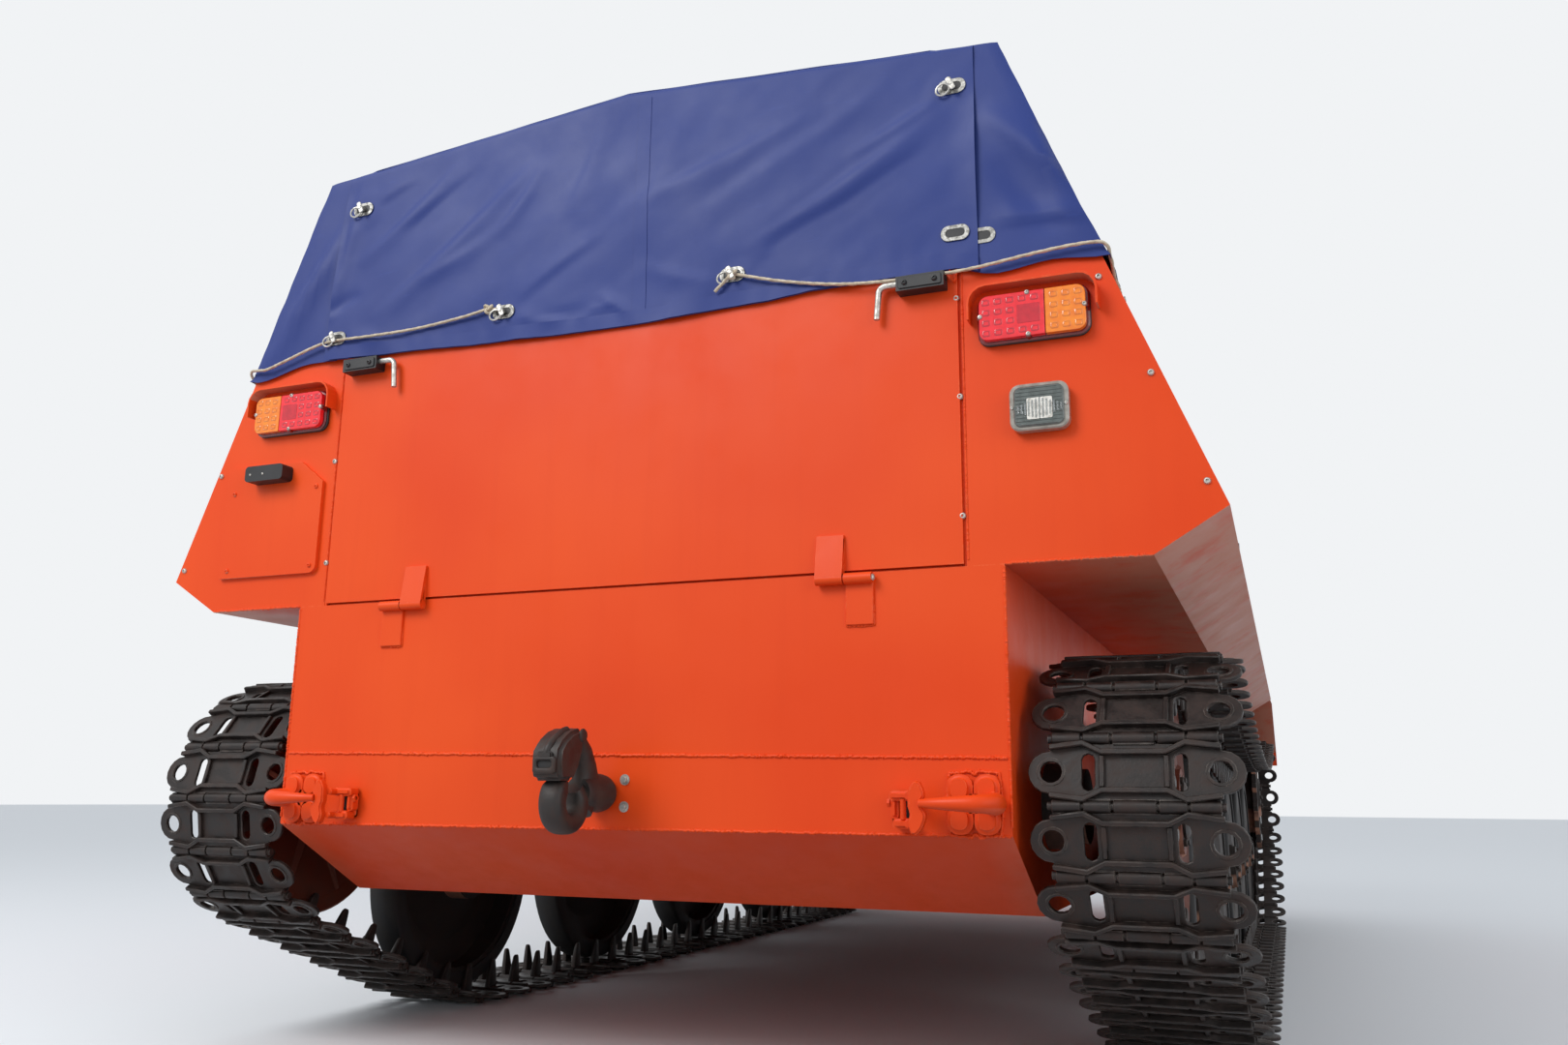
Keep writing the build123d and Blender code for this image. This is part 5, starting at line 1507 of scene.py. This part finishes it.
@dataclass(frozen=True)
class RearEnd:
    """Screws, weld beads and small fittings of the rear plate, tailgate and hitch."""

    screws: tuple[Flat, ...] = (
        (790, 1410), (790, 1162), (1164, 1416), (1253, 1193), (1075, 1627), (787, 1623), (-801, 1166),
        (-802, 1424), (-1172, 1418), (-1264, 1174))
    weld_height: Flat = (708.0, 689.0)
    hitch_height: float = 619.0
    hook_place: float = 800.0
    hook_height: float = 604.0
    bolt_height: float = BODY.rail_height - 36.0
    hinge_height: float = BODY.floor_height - 13.0
    hinges: Flat = (-554.0, 544.0)
    hinge_wide: float = 60.0

    def build(self) -> None:
        """Make the rear end's pieces."""
        self._screws()
        self._welds()
        self._latches()
        self._hinges()
        self._hitch()
        self._hooks()
        self._rebate()

    def _rebate(self) -> None:
        """Painted rebate behind the gap round the tailgate."""
        draft = Draft("gate_rebate", Kind.BODY)
        half = BODY.gate_half + 3
        for x in (-half, half):
            near = 1.0 if x < 0 else 4.0
            draft.box((x - 2.6, near, BODY.floor_height), (x + 2.6, 24, BODY.rail_height))
        draft.box((-half, 9, BODY.floor_height + 0.2), (half, 24, BODY.floor_height + 4.2))
        draft.ready()

    def _screws(self) -> None:
        """Screws of the corner panels, the cover plate and the plate lamp, and the gate's cord."""
        fasten("panel_screws", Kind.ZINC, (on_rear(x, z) for x, z in self.screws), 7)
        cover = (on_rear(x, z, 10) for z in (1162, 1362) for x in (-846, -1110))
        fasten("cover_plate_screws", Kind.BODY, cover, 6)
        cord = Draft("gate_cord", Kind.BODY)
        cord.tube(spline([(779, -6, 1697), (777, -12, 1678), (784, -9, 1658), (792, -12, 1676),
                          (787, -6, 1697)], 5), 2, 8)
        cord.ready()
        fasten("plate_lamp_screws", Kind.ZINC, (on_rear(x, 1398, 46.8) for x in (-1028, -988)), 3)

    def _welds(self) -> None:
        """Weld beads of the rear plate, the chamfer and the corner panels."""
        draft = Draft("weld_beads", Kind.BODY)
        half, floor, edge, rail = BODY.hull_half, BODY.floor_height, BODY.gate_half + 9, BODY.rail_height
        left, right = self.weld_height
        draft.bead([(-half + 6, 0, left), (half - 6, 0, right)], 3.8, 4)
        draft.bead([(-half + 4, 1, BODY.bend_height), (half - 4, 1, BODY.bend_height)], 3.6, 5)
        for sign in (1, -1):
            draft.bead([(sign * (half - 1), 1, 560), (sign * (half - 1), 1, floor - 4)], 3.5, 6 + sign)
            draft.bead([(sign * (half + 2), 0, floor + 1), (sign * (BODY.widest - 142), 0, floor + 1)],
                       3.0, 9 + sign)
            draft.bead([(sign * edge, 0, floor + 12), (sign * edge, 0, rail - 24)], 2.2, 12 + sign)
        draft.ready((), 60)

    def _latches(self) -> None:
        """Mounting plates and screws of the two sliding bolts."""
        plates = Draft("latch_plates", Kind.PLASTIC, "tailgate")
        z = self.bolt_height - 6
        for _, flip in BOTH:
            plates.prism(rectangle(92, 24, 4), 3, flip @ on_rear(719, z, 38), 1)
        plates.ready()
        screws = (flip @ on_rear(x, z, 41) for _, flip in BOTH for x in (687, 751))
        fasten("latch_screws", Kind.PLASTIC, screws, 6, "tailgate")

    def _hinges(self) -> None:
        """Upper and lower hinge leaves with their rolled barrels, weld beads and pin ends."""
        leaves = Draft("gate_hinge_leaves", Kind.BODY, "tailgate")
        lower = Draft("plate_hinge_leaves", Kind.BODY)
        welds = Draft("hinge_welds", Kind.BODY)
        pins = Draft("hinge_pin_ends", Kind.ZINC)
        axis, wide, out = self.hinge_height, self.hinge_wide, -13
        plate = [(-3.5, axis + 92), (-10.5, axis + 92), (-24, axis + 4), (-17, axis + 4)]
        barrel = [(9, 0), (11.4, 0), (11.4, wide - 1.5), (9, wide - 1.5)]
        for i, x in enumerate(self.hinges):
            side = -1 if x > 0 else 1
            x0, x1 = sorted((x + side * 1.5, x + side * wide))
            leaves.loft([[(end, y, z) for y, z in plate] for end in (x0, x1)])
            leaves.turned(barrel, frame_at((x0, out, axis), (1, 0, 0)), 24)
            x0, x1 = sorted((x - side * 1.5, x - side * wide))
            lower.prism(rectangle(wide - 2, 88, 2, at=((x0 + x1) / 2, axis - 50)), 7, on_rear(0, 0), 1.5)
            lower.turned(barrel, frame_at((x0, out, axis), (1, 0, 0)), 24)
            low, near, far = axis - 94, x - side * 2, x - side * wide
            welds.bead([(near, 0, low + 40), (near, 0, low - 1), (far, 0, low - 1), (far, 0, low + 40)],
                       3.2, 30 + i)
            pins.turned([(7, 0), (7, 3), (5, 5), (0, 5)], frame_at((far, out, axis), (-side, 0, 0)), 14)
        leaves.ready((), 30)
        lower.ready((), 30)
        welds.ready((), 60)
        pins.ready()

    def _hitch(self) -> None:
        """Forged hook with its curved neck, the hinged keeper and the bolts of the plate."""
        places = (on_rear(x, z) for x in (-50, 50) for z in (591, 647))
        fasten("hitch_bolts", Kind.ZINC, places, 12, head=Draft.bolt)
        hook = Draft("hitch_forging", Kind.IRON)
        hook.turned([(28, 0), (34, 5), (38, 14), (40, 28), (38, 46), (36, 96), (30, 108), (0, 112)],
                    on_rear(0, self.hitch_height), 40)
        y, z, major, steps = -157.0, self.hitch_height - 19, 43.5, 30
        rings = []
        for k in range(steps + 1):
            turn = radians(40 - 284 * k / steps)
            fade = min(1.0, 0.72 + 0.28 * min(k, steps - k) / 3)
            ring = []
            for u, v in circle(1, 20):
                u, v = (copysign(abs(w) ** 0.7, w) * fade for w in (u, v))
                reach = major + 20 * u
                ring.append((27 * v, y + reach * cos(turn), z + reach * sin(turn)))
            rings.append(ring)
        hook.loft(rings)
        spine = ((-96, 582, 28), (-80, 612, 38), (-76, 640, 36), (-86, 672, 28), (-102, 702, 22),
                 (-126, 724, 18), (-148, 734, 15))
        neck = []
        for k, (y, z, thick) in enumerate(spine):
            after, before = spine[min(k + 1, 6)], spine[max(k - 1, 0)]
            along = Vector((after[0] - before[0], after[1] - before[1])).normalized()
            neck.append([(25 * u, y + along.y * thick * v, z - along.x * thick * v)
                         for u, v in circle(1, 16)])
        hook.loft(neck)
        hook.ready(["tow_hitch"], 50)
        self._keeper()

    def _keeper(self) -> None:
        """Keeper over the hook's mouth, with its hinge ears, its catch lever and its slot, whose hole is
        filled by a black plate of painted shade.
        """
        keeper = Draft("keeper_forging", Kind.IRON)
        slot = Draft("keeper_slot_shade", Kind.RUBBER)
        side = frame_at((-34, 0, 0), (1, 0, 0))
        outline = [(-230, 652), (-234, 680), (-232, 702), (-214, 722), (-188, 738), (-160, 746), (-146, 742),
                   (-144, 704), (-158, 668), (-176, 642), (-224, 641)]
        keeper.prism(outline, 68, side, 8, rounds=3)
        for x in (-33, 33):
            keeper.turned([(0, -4), (11, -4), (14, -1), (14, 1), (11, 4), (0, 4)],
                          frame_at((x, -150, 732), (1, 0, 0)), 24)
        catch = ((0, -231, 690), (3, -229, 704), (5, -214, 720), (7, -190, 736), (8, -172, 742))
        keeper.tube(spline(catch, 6), 8, 12)
        face = on_rear(0, 0, 232)
        keeper.prism(rectangle(34, 14, 5, 3, (0, 691)), 8, face, 3, rounds=2)
        hole = rectangle(34, 14, 4, 2, (0, 673))
        keeper.prism(rectangle(52, 34, 6, 2, (0, 671)), 8, face, 2.5, [hole])
        # black plate in the slot's hole: painted shade for its dark depth
        slot.prism(hole, 2.4, face)
        keeper.ready(["hitch_keeper"], 50)
        slot.ready()

    def _hooks(self) -> None:
        """Forged tow hooks: lobed pads, a round tapering horn, a latch with its link, and a dark plate in the
        latch's gap that is painted shade.
        """
        forged = Draft("tow_hook_forgings", Kind.BODY)
        beads = Draft("hook_welds", Kind.BODY)
        # pins holds no pins: a thin dark plate that paints the shade in the latch's gap
        pins = Draft("hook_latch_gap_shade", Kind.IRON)
        x, z = self.hook_place, self.hook_height
        horn = spline([(x + 28, 4, z), (x + 44, -26, z), (x + 46, -54, z), (x + 22, -78, z), (x - 20, -82, z),
                       (x - 60, -79, z), (x - 88, -72, z)], 7)
        last = len(horn) - 1
        blade = spline([(p, 0, q) for p, q in (
            (-16, 10), (-14, 26), (-3, 42), (4, 42), (12, 28), (15, 13), (9, 4), (9, -6), (18, -22),
            (11, -44), (-1, -57), (-10, -54), (-15, -36), (-12, -20), (-16, -6))], 6)
        outline = [(48, -58), (8, -62), (0, -55), (-8, -62), (-48, -58), (-54, -8), (-48, 56), (-8, 60),
                   (0, 53), (8, 60), (48, 56), (54, -8), (48, -58)]
        # middle, width, height and thickness of the latch's link, bars, pin block and ears
        latch = ((-136, -10, 48, 66, 12), (-135, 14, 48, 19, 38), (-134, -38, 36, 20, 38),
                 (-151, -10, 17, 38, 30), (-116, 14, 14, 15, 56), (-116, -38, 14, 15, 56))
        for i, (_, flip) in enumerate(BOTH):
            face = flip @ on_rear(x, z)
            forged.tube(horn, 23, 20, flip, lambda i, a: 1.0 - 0.66 * (i / last) ** 1.2)
            forged.prism(rectangle(92, 44, 12, 3), 13, face, 4, rounds=2)
            for u, v in ((-26, 28), (26, 28), (-26, -30), (26, -30)):
                forged.prism(rectangle(50, 54, 22, 4, (u, v)), 22, face, 9, rounds=3)
            forged.prism([(p.x - 96, p.z) for p in blade], 20, face @ shift(0, 0, 52), 7, rounds=3)
            for u, v, wide, tall, thick in latch:
                forged.prism(rectangle(wide, tall, 7, 3, (u, v)), thick, face, 6, rounds=3)
            forged.tube([(x - 132, -30, z - 30), (x - 132, -30, z + 8)], 6, 12, flip)
            forged.turned([(0, 0), (9, 0), (9, 5), (5, 5), (5, 2)],
                          flip @ frame_at((x - 160, -20, z), (-1, 0, 0)), 6)
            # dark plate between the latch's knuckles: painted shade for the gap
            pins.prism(rectangle(26, 30, 3, at=(-127, -12)), 2, face @ shift(0, 0, 12))
            beads.bead([flip @ Vector((x + u, -1, z + v)) for u, v in outline], 3.6, 40 + i)
        forged.ready(["tow_hooks"], 50)
        beads.ready((), 60)
        pins.ready()


@dataclass(frozen=True)
class Lamps:
    """Tail lamps, reversing lamp, headlamps and side lamps."""

    tail_size: Flat = (226.0, 106.0)
    amber_width: float = 87.0
    cell: float = 18.0
    cell_pitch: Flat = (24.5, 22.0)
    reverse: Flat = (952.0, 1366.0)
    reverse_size: Flat = (116.0, 96.0)
    markers: Point = (480.0, 1850.0, 4560.0)
    marker_height: float = 1230.0

    def build(self) -> None:
        """Make all lamps."""
        self._tail_lamps()
        self._reversing_lamp()
        self._headlamps()
        self._side_lamps()

    def _tail_lamps(self) -> None:
        """Gasket, red and amber lens with their pillow cells, and the screws."""
        base = Draft("tail_lamp_bases", Kind.PLASTIC)
        red = Draft("tail_lamp_lenses", Kind.RED)
        amber = Draft("turn_signal_lenses", Kind.AMBER)
        # the pillow cells and the middle block take the darker cell copies of the lens colours: painted shade
        block = Draft("tail_lamp_reflectors", Kind.RED_CELL)
        red_cells = Draft("tail_lamp_cells", Kind.RED_CELL)
        amber_cells = Draft("turn_signal_cells", Kind.AMBER_CELL)
        rim = Draft("tail_lamp_rims", Kind.DEEP_RED)
        screws = Draft("lamp_screws", Kind.ZINC)
        low, high = box_mm("tail_lamps")
        width, height = self.tail_size
        x, z = high[0] - width / 2, (low[2] + high[2]) / 2
        for _, flip in BOTH:
            place = flip @ on_rear(x, z)
            base.prism(rectangle(width, height, 24, 5), 8, place, 2)
            rim.prism(rectangle(width - 2, height - 1, 23, 5), 7, place @ shift(0, 0, 8), 3)
            split = width / 2 - self.amber_width
            body = rectangle(width - 14, height - 12, 18, 5)
            inner = [(min(u, split - 1), v) for u, v in body]
            outer = [(max(u, split + 1), v) for u, v in body]
            for draft, outline in ((red, inner), (amber, outer)):
                clean = [p for i, p in enumerate(outline) if p != outline[i - 1]]
                draft.prism(clean, 13, place @ shift(0, 0, 14.5), 4)
            face = place @ shift(0, 0, 27)
            start, low_row, (wide, tall) = -width / 2 + 21, -height / 2 + 20, self.cell_pitch
            for j in range(4):
                level = low_row + j * tall
                for i in range(3):
                    self._cell(amber_cells, face @ shift(split + 18 + i * 24, level, -0.4))
                for i in range(5 if j in (0, 3) else 3):
                    self._cell(red_cells, face @ shift(start + i * wide, level, -0.4))
            middle = shift(start + 3.5 * wide, low_row + 1.5 * tall)
            block.prism(rectangle(46, 40, 3), 1.2, face @ middle, 0.4)
            side, top = width / 2 - 9, height / 2 - 9
            for u, v in ((-8, top), (-8, -top), (-side, 4), (side, 4)):
                boss = face @ shift(u, v)
                rim.turned([(0, -14), (7, -14), (7, -1), (6, 0), (0, 0)], boss, 20)
                screws.screw(boss, 5)
        base.ready(["tail_lamps"])
        for draft in (red, amber, red_cells, amber_cells, block, rim, screws):
            draft.ready()

    def _cell(self, draft: Draft, place: Matrix) -> None:
        """One moulded pillow of a lens, dished in its middle."""
        rings = []
        for inset, tall in ((0, -0.6), (0, 0.3), (1.2, 1.4), (3.0, 1.8), (4.8, 0.7)):
            ring = rectangle(self.cell - 2 * inset, self.cell * 0.86 - 2 * inset, 4 - inset * 0.8, 2)
            rings.append([(*spot, tall) for spot in ring])
        draft.loft(rings, place)

    def _reversing_lamp(self) -> None:
        """Hazy rim round a smoky ribbed lens, with its bright prism block in the middle."""
        x, z = self.reverse
        width, height = self.reverse_size
        rim = Draft("reversing_lamp_rim", Kind.HAZY)
        rim.prism(rectangle(width, height, 20, 5), 24, on_rear(x, z), 3)
        rim.ready(["reversing_lamp"])
        lens = Draft("reversing_lamp_lens", Kind.SMOKY)
        wide, tall = width - 18, height - 14
        lens.prism(rectangle(wide, tall, 14, 5), 3.5, on_rear(x, z, 24), 2)
        for i in range(11):
            v = -tall / 2 + tall * (i + 0.5) / 11
            reach = wide - (26 if i in (0, 10) else 8)
            lens.prism(rectangle(reach, 3.2), 1.4, on_rear(x, z + v, 27.2), 0.6)
        lens.ready()
        block = Draft("reversing_lamp_prisms", Kind.CLEAR)
        bright = Draft("reversing_lamp_reflector", Kind.ZINC)
        bright.prism(rectangle(50, 44, 3), 1.0, on_rear(x + 2, z - 6, 28.2), 0.3)
        for i in range(13):
            u = -42 + 7 * i
            block.prism(rectangle(3.6, 44 - 0.7 * abs(u)), 1.6, on_rear(x + 2 + u, z - 6, 28.4), 0.6)
        bright.ready()
        block.ready()
        ends = (on_rear(x + u, z, 24) for u in (-width / 2 + 5, width / 2 - 5))
        fasten("reversing_lamp_screws", Kind.ZINC, ends, 4)

    def _headlamps(self) -> None:
        """Bright rims and ribbed lenses of the headlamps."""
        side, front, top = box_mm("headlamps")[1]
        rims = Draft("headlamp_rims", Kind.NICKEL)
        lens = Draft("headlamp_lenses", Kind.CLEAR)
        for _, flip in BOTH:
            place = flip @ frame_at((side - 95, front, top - 95), (0, 1, 0))
            rims.turned([(80, -13), (92, -13), (94, -6), (90, 2), (82, 3), (80, -2)], place, 48)
            lens.turned([(81, -3), (70, 3), (40, 8), (0, 10)], place, 48)
            for i in range(9):
                u = -64 + 16 * i
                tall = sqrt(max(0, 76**2 - u**2)) * 1.7
                lens.prism(rectangle(5, tall), 2, place @ shift(u, 0, 8 - (u / 30) ** 2), 0.8)
        rims.ready()
        lens.ready()

    def _side_lamps(self) -> None:
        """Amber markers on the sloping sides."""
        amber = Draft("side_markers", Kind.AMBER)
        base = Draft("side_marker_bases", Kind.PLASTIC)
        for _, flip in BOTH:
            for y in self.markers:
                place = flip @ on_side(y, self.marker_height)
                base.prism(rectangle(104, 40, 8), 7, place, 1.5)
                amber.prism(rectangle(92, 30, 7), 11, place @ shift(0, 0, 7), 3)
        amber.ready()
        base.ready()


# Cab


@dataclass(frozen=True)
class Cab:
    """Window rubbers, handles, wipers, mirrors, grilles and seats of the cab."""

    cowl: Flat = (4750.0, 1330.0)
    roof: Flat = (4440.0, 2130.0)
    nose: Flat = (5440.0, 900.0)
    door_rear: float = 3560.0
    door_front: float = 4300.0
    door_high: float = 955.0
    sill: float = 1560.0

    def _up(self, height: float) -> float:
        """Distance up the sloping side for a height."""
        return (height - BODY.widest_height) * hypot(1, BODY.lean)

    def _slope(self, flip: Matrix, proud: float = 0.0) -> Matrix:
        """Placement on the side, with x as the station and y up the slope."""
        return flip @ on_side(0, BODY.widest_height, proud)

    def _rubber(self, draft: Draft, outline: Sequence[Flat], place: Matrix) -> None:
        """Rubber gasket that follows a window's edge."""
        line = bent([(*p, 0) for p in (*outline, outline[0])], 30)
        draft.tube(line[:-1], 7, 8, place)

    def _windows(self) -> tuple[list[Flat], list[Flat]]:
        """Outlines of the door's window and the one behind it, on the slope."""
        low, high = self._up(self.sill), self.door_high - 60
        rear, front = self.door_rear + 70, self.door_front - 75
        left, right = BODY.bed_length + 90, self.door_rear - 70
        return ([(rear, low), (front, low), (front, high - 190), (front - 75, high), (rear, high)],
                [(left, low), (right, low), (right, high), (left, high)])

    def build(self) -> None:
        """Make the cab's pieces."""
        front, behind = self._windows()
        fixed = Draft("window_rubbers", Kind.RUBBER)
        for side, flip in BOTH:
            name = side.name.lower()
            door = Draft(f"door_rubber_{name}", Kind.RUBBER, f"door_{name}")
            self._rubber(door, front, self._slope(flip, -2))
            door.ready()
            self._rubber(fixed, behind, self._slope(flip, -2))
            self._handle(name, flip)
        self._screen(fixed)
        back = [(-330, self.sill), (330, self.sill), (330, 1900), (-330, 1900)]
        self._rubber(fixed, back, frame_at((0, BODY.bed_length + 2, 0), (0, -1, 0)))
        fixed.ready()
        self._mirrors()
        self._front()
        self._seats()
        self._inside()

    def _screen_place(self, flip: Matrix, proud: float) -> Matrix:
        """Placement on the windscreen's face, with y up the screen from the cowl."""
        run, rise = self.cowl[0] - self.roof[0], self.roof[1] - self.cowl[1]
        return flip @ frame_at((0, *self.cowl), (0, rise, run)) @ shift(0, 0, proud)

    def _screen(self, rubber: Draft) -> None:
        """Windscreen rubbers and wipers."""
        high = dist(self.cowl, self.roof) - 118
        wide, top = BODY.side_x(self.cowl[1]) - 150, BODY.side_x(self.roof[1]) - 105
        wipers = Draft("wipers", Kind.PLASTIC)
        for _, flip in BOTH:
            place = self._screen_place(flip, -2)
            self._rubber(rubber, [(-55, 90), (-wide, 90), (-top, high), (-55, high)], place)
            pivot = (-wide / 2, 52)
            wipers.turned([(22, 0), (22, 10), (12, 24), (0, 26)], place @ shift(*pivot), 20)
            end = (-wide / 2 + 250, 330)
            wipers.tube([(*pivot, 20), (*end, 12)], 5, 8, place)
            wipers.tube([(end[0] - 190, end[1] - 210, 8), (end[0] + 150, end[1] + 190, 8)], 5, 6, place)
        wipers.ready()

    def _handle(self, name: str, flip: Matrix) -> None:
        """Door handle with its lock."""
        draft = Draft(f"door_handle_{name}", Kind.PLASTIC, f"door_{name}")
        place = self._slope(flip) @ shift(self.door_rear + 105, 300)
        draft.prism(rectangle(150, 46, 12), 8, place, 2)
        draft.prism(rectangle(96, 22, 8), 20, place @ shift(10, 0, 8), 4)
        draft.turned([(11, 0), (11, 11), (6, 12), (0, 12)], place @ shift(-58, 0), 20)
        draft.ready()

    def _mirrors(self) -> None:
        """Mirror glasses on the rear of the mirror housings."""
        high = box_mm("mirrors")[1]
        glass = Draft("mirror_glasses", Kind.NICKEL)
        for _, flip in BOTH:
            spot = (high[0] - 56, 4547, high[2] - 100)
            glass.prism(rectangle(96, 182, 14, 4), 2, flip @ frame_at(spot, (0, -1, 0)), 0.6)
        glass.ready()

    def _front(self) -> None:
        """Air intake louvres and bolts of the nose deck, and the bolts of its hatch."""
        run, rise = self.nose[0] - self.cowl[0], self.cowl[1] - self.nose[1]
        place = frame_at((0, *self.cowl), (0, rise, run))
        slope = hypot(run, rise)
        grille = Draft("intake_louvres", Kind.BODY)
        for x in (-860, 860):
            for v in range(-150, -430, -32):
                turn = place @ shift(x, v) @ Matrix.Rotation(0.5, 4, "X")
                grille.prism(rectangle(330, 26), 2.5, turn, 0.8)
        grille.ready()
        corners = (place @ shift(x, v) for x in (-1220, -1000, 1000, 1220) for v in (-60, -slope + 70))
        fasten("nose_bolts", Kind.ZINC, corners, 17, head=Draft.bolt)
        hatch = (place @ shift(x, -532) for x in (-360, -120, 120, 360))
        fasten("hatch_bolts", Kind.ZINC, hatch, 15, "nose_hatch", Draft.bolt)

    def _seats(self) -> None:
        """Upholstered seats with piped edges."""
        x, station = box_mm("seats")[1][0] - 235, 3910
        draft = Draft("seat_upholstery", Kind.VINYL)
        seams = Draft("seat_piping", Kind.RUBBER)
        for _, flip in BOTH:
            self._cushion(draft, flip @ shift(x, station, 1096), (462, 452, 108))
            lean = Matrix.Rotation(radians(10), 4, "X")
            self._cushion(draft, flip @ shift(x, 3708, 1392) @ lean, (444, 96, 488))
            corners = [(*spot, 40) for spot in rectangle(428, 416)]
            seams.tube(bent(corners + corners[:1], 40)[:-1], 4, 7, flip @ shift(x, station, 1104))
        made = draft.ready(["seats"], 60)
        seams.ready()

    def _cushion(self, draft: Draft, place: Matrix, size: Point) -> None:
        """One stuffed cushion with soft edges and a crowned face."""
        part = bmesh.new()
        bmesh.ops.create_cube(part, size=1.0)
        bmesh.ops.subdivide_edges(part, edges=part.edges[:], cuts=13, use_grid_fill=True)
        for vert in part.verts:
            flat = Vector(c * 2 for c in vert.co)
            ball = flat.normalized() * max(abs(c) for c in flat)
            vert.co = Vector(size[i] / 2 * (0.86 * flat[i] + 0.14 * ball[i] * 1.05) for i in range(3))
            vert.co += vert.co.normalized() * 2.2 * noise.noise(vert.co / 60)
            if size[2] < size[1]:
                vert.co.z = min(vert.co.z, size[2] / 2 + 3)
        draft.absorb(part, place)

    def _inside(self) -> None:
        """Lever knobs and the instrument cluster."""
        knobs = Draft("lever_knobs", Kind.RUBBER)
        low, high = box_mm("steering_levers")
        for x in (low[0] + 11, high[0] - 11):
            place = frame_at((x, low[1] + 11, high[2] - 22), (0, -0.5, 0.87))
            knobs.turned([(12, -60), (16, -56), (17, -10), (15, 6), (8, 12), (0, 13)], place, 24)
        knobs.ready()
        dials = Draft("instrument_dials", Kind.NICKEL)
        low, high = box_mm("dashboard")
        for i in range(4):
            place = frame_at((-710 + 80 * i, low[1], (low[2] + high[2]) / 2 + 5), (0, -1, 0.15))
            dials.turned([(30, 0), (30, 5), (25, 6), (24, 3), (0, 3)], place, 28)
        dials.ready()


# Setting


@dataclass(frozen=True)
class Setting:
    """Camera, daylight and a plain pale floor."""

    lens: float = 28.515
    place: Point = (1.3562, -5.0128, 0.6100)
    turn: Point = (0.2191, -0.0084, 0.3818)
    sky: str = "#E9EEF4"
    sky_strength: float = 0.82
    floor: str = "#E8EAEC"
    bounce: str = "#9E9A98"
    backdrop: str = "#F1F3F5"
    floor_size: float = 120.0

    def build(self) -> None:
        """Make the camera, the lamps and the floor."""
        scene = bpy.context.scene
        data = bpy.data.cameras.new("camera")
        data.lens, data.sensor_width, data.clip_end = self.lens, 36.0, 200.0
        camera = bpy.data.objects.new("camera", data)
        scene.collection.objects.link(camera)
        pitch, roll, yaw = self.turn
        turn = Matrix.Rotation(yaw, 3, "Z") @ Matrix.Rotation(pitch, 3, "X") @ Matrix.Rotation(roll, 3, "Y")
        columns = (turn.col[0], turn.col[2], -turn.col[1])
        camera.matrix_world = shift(*self.place) @ Matrix(columns).transposed().to_4x4()
        scene.camera = camera
        scene.view_settings.view_transform = "Standard"
        self._lamps(scene)
        self._floor()

    def _lamps(self, scene: bpy.types.Scene) -> None:
        """Overcast sky, a soft key from the upper left behind the camera and a weak fill."""
        world = bpy.data.worlds.new("sky")
        scene.world = world
        world.use_nodes = True
        tree = world.node_tree
        ground = tree.nodes["Background"]
        ground.inputs["Color"].default_value = linear(self.sky)
        ground.inputs["Strength"].default_value = self.sky_strength
        seen = add_node(tree, "Background", {"Color": linear(self.backdrop), "Strength": 1.0})
        shaders = {0: seen_rays(tree), 1: ground.outputs[0], 2: seen.outputs[0]}
        both = add_node(tree, "MixShader", links=shaders).outputs[0]
        tree.links.new(tree.nodes["World Output"].inputs["Surface"], both)
        for name, place, aim, size, watts in (
                ("key", (-3.5, -8.5, 6.5), (0.0, -2.6, 1.0), 4.0, 480.0),
                ("fill", (7.0, -6.0, 3.0), (0.0, -2.0, 1.0), 5.0, 110.0)):
            data = bpy.data.lights.new(name, "AREA")
            data.energy, data.size = watts, size
            lamp = bpy.data.objects.new(name, data)
            scene.collection.objects.link(lamp)
            turn = (Vector(place) - Vector(aim)).to_track_quat("Z", "Y").to_matrix().to_4x4()
            lamp.matrix_world = shift(*place) @ turn

    def _floor(self) -> None:
        """Plain pale floor under the carrier."""
        data = bpy.data.meshes.new("floor")
        corners = [(*spot, 0) for spot in rectangle(self.floor_size, self.floor_size)]
        data.from_pydata(corners, [], [(0, 1, 2, 3)])
        floor = bpy.data.objects.new("floor", data)
        bpy.context.scene.collection.objects.link(floor)
        shader = Shader("plain_floor")
        shader.paint(self.bounce, (seen_rays(shader.tree), self.floor))
        shader.fix(Roughness=0.9)
        data.materials.append(shader.material)


def dress_frame() -> None:
    """Give every frame node its finish."""
    for kind, nodes in FINISH_OF_NODE.items():
        for name in nodes:
            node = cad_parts[name]
            node.data.materials.clear()
            node.data.materials.append(kind.value.material())
            log.info("%s: %s", name, kind.value.name)


def main() -> None:
    """Build the whole scene."""
    logging.basicConfig(level=logging.INFO, format="%(name)s %(message)s")
    dress_frame()
    for part in (RunningGear(), LoadCover(), RearEnd(), Lamps(), Cab()):
        part.build()
    Setting().build()


if __name__ == "__main__":
    main()
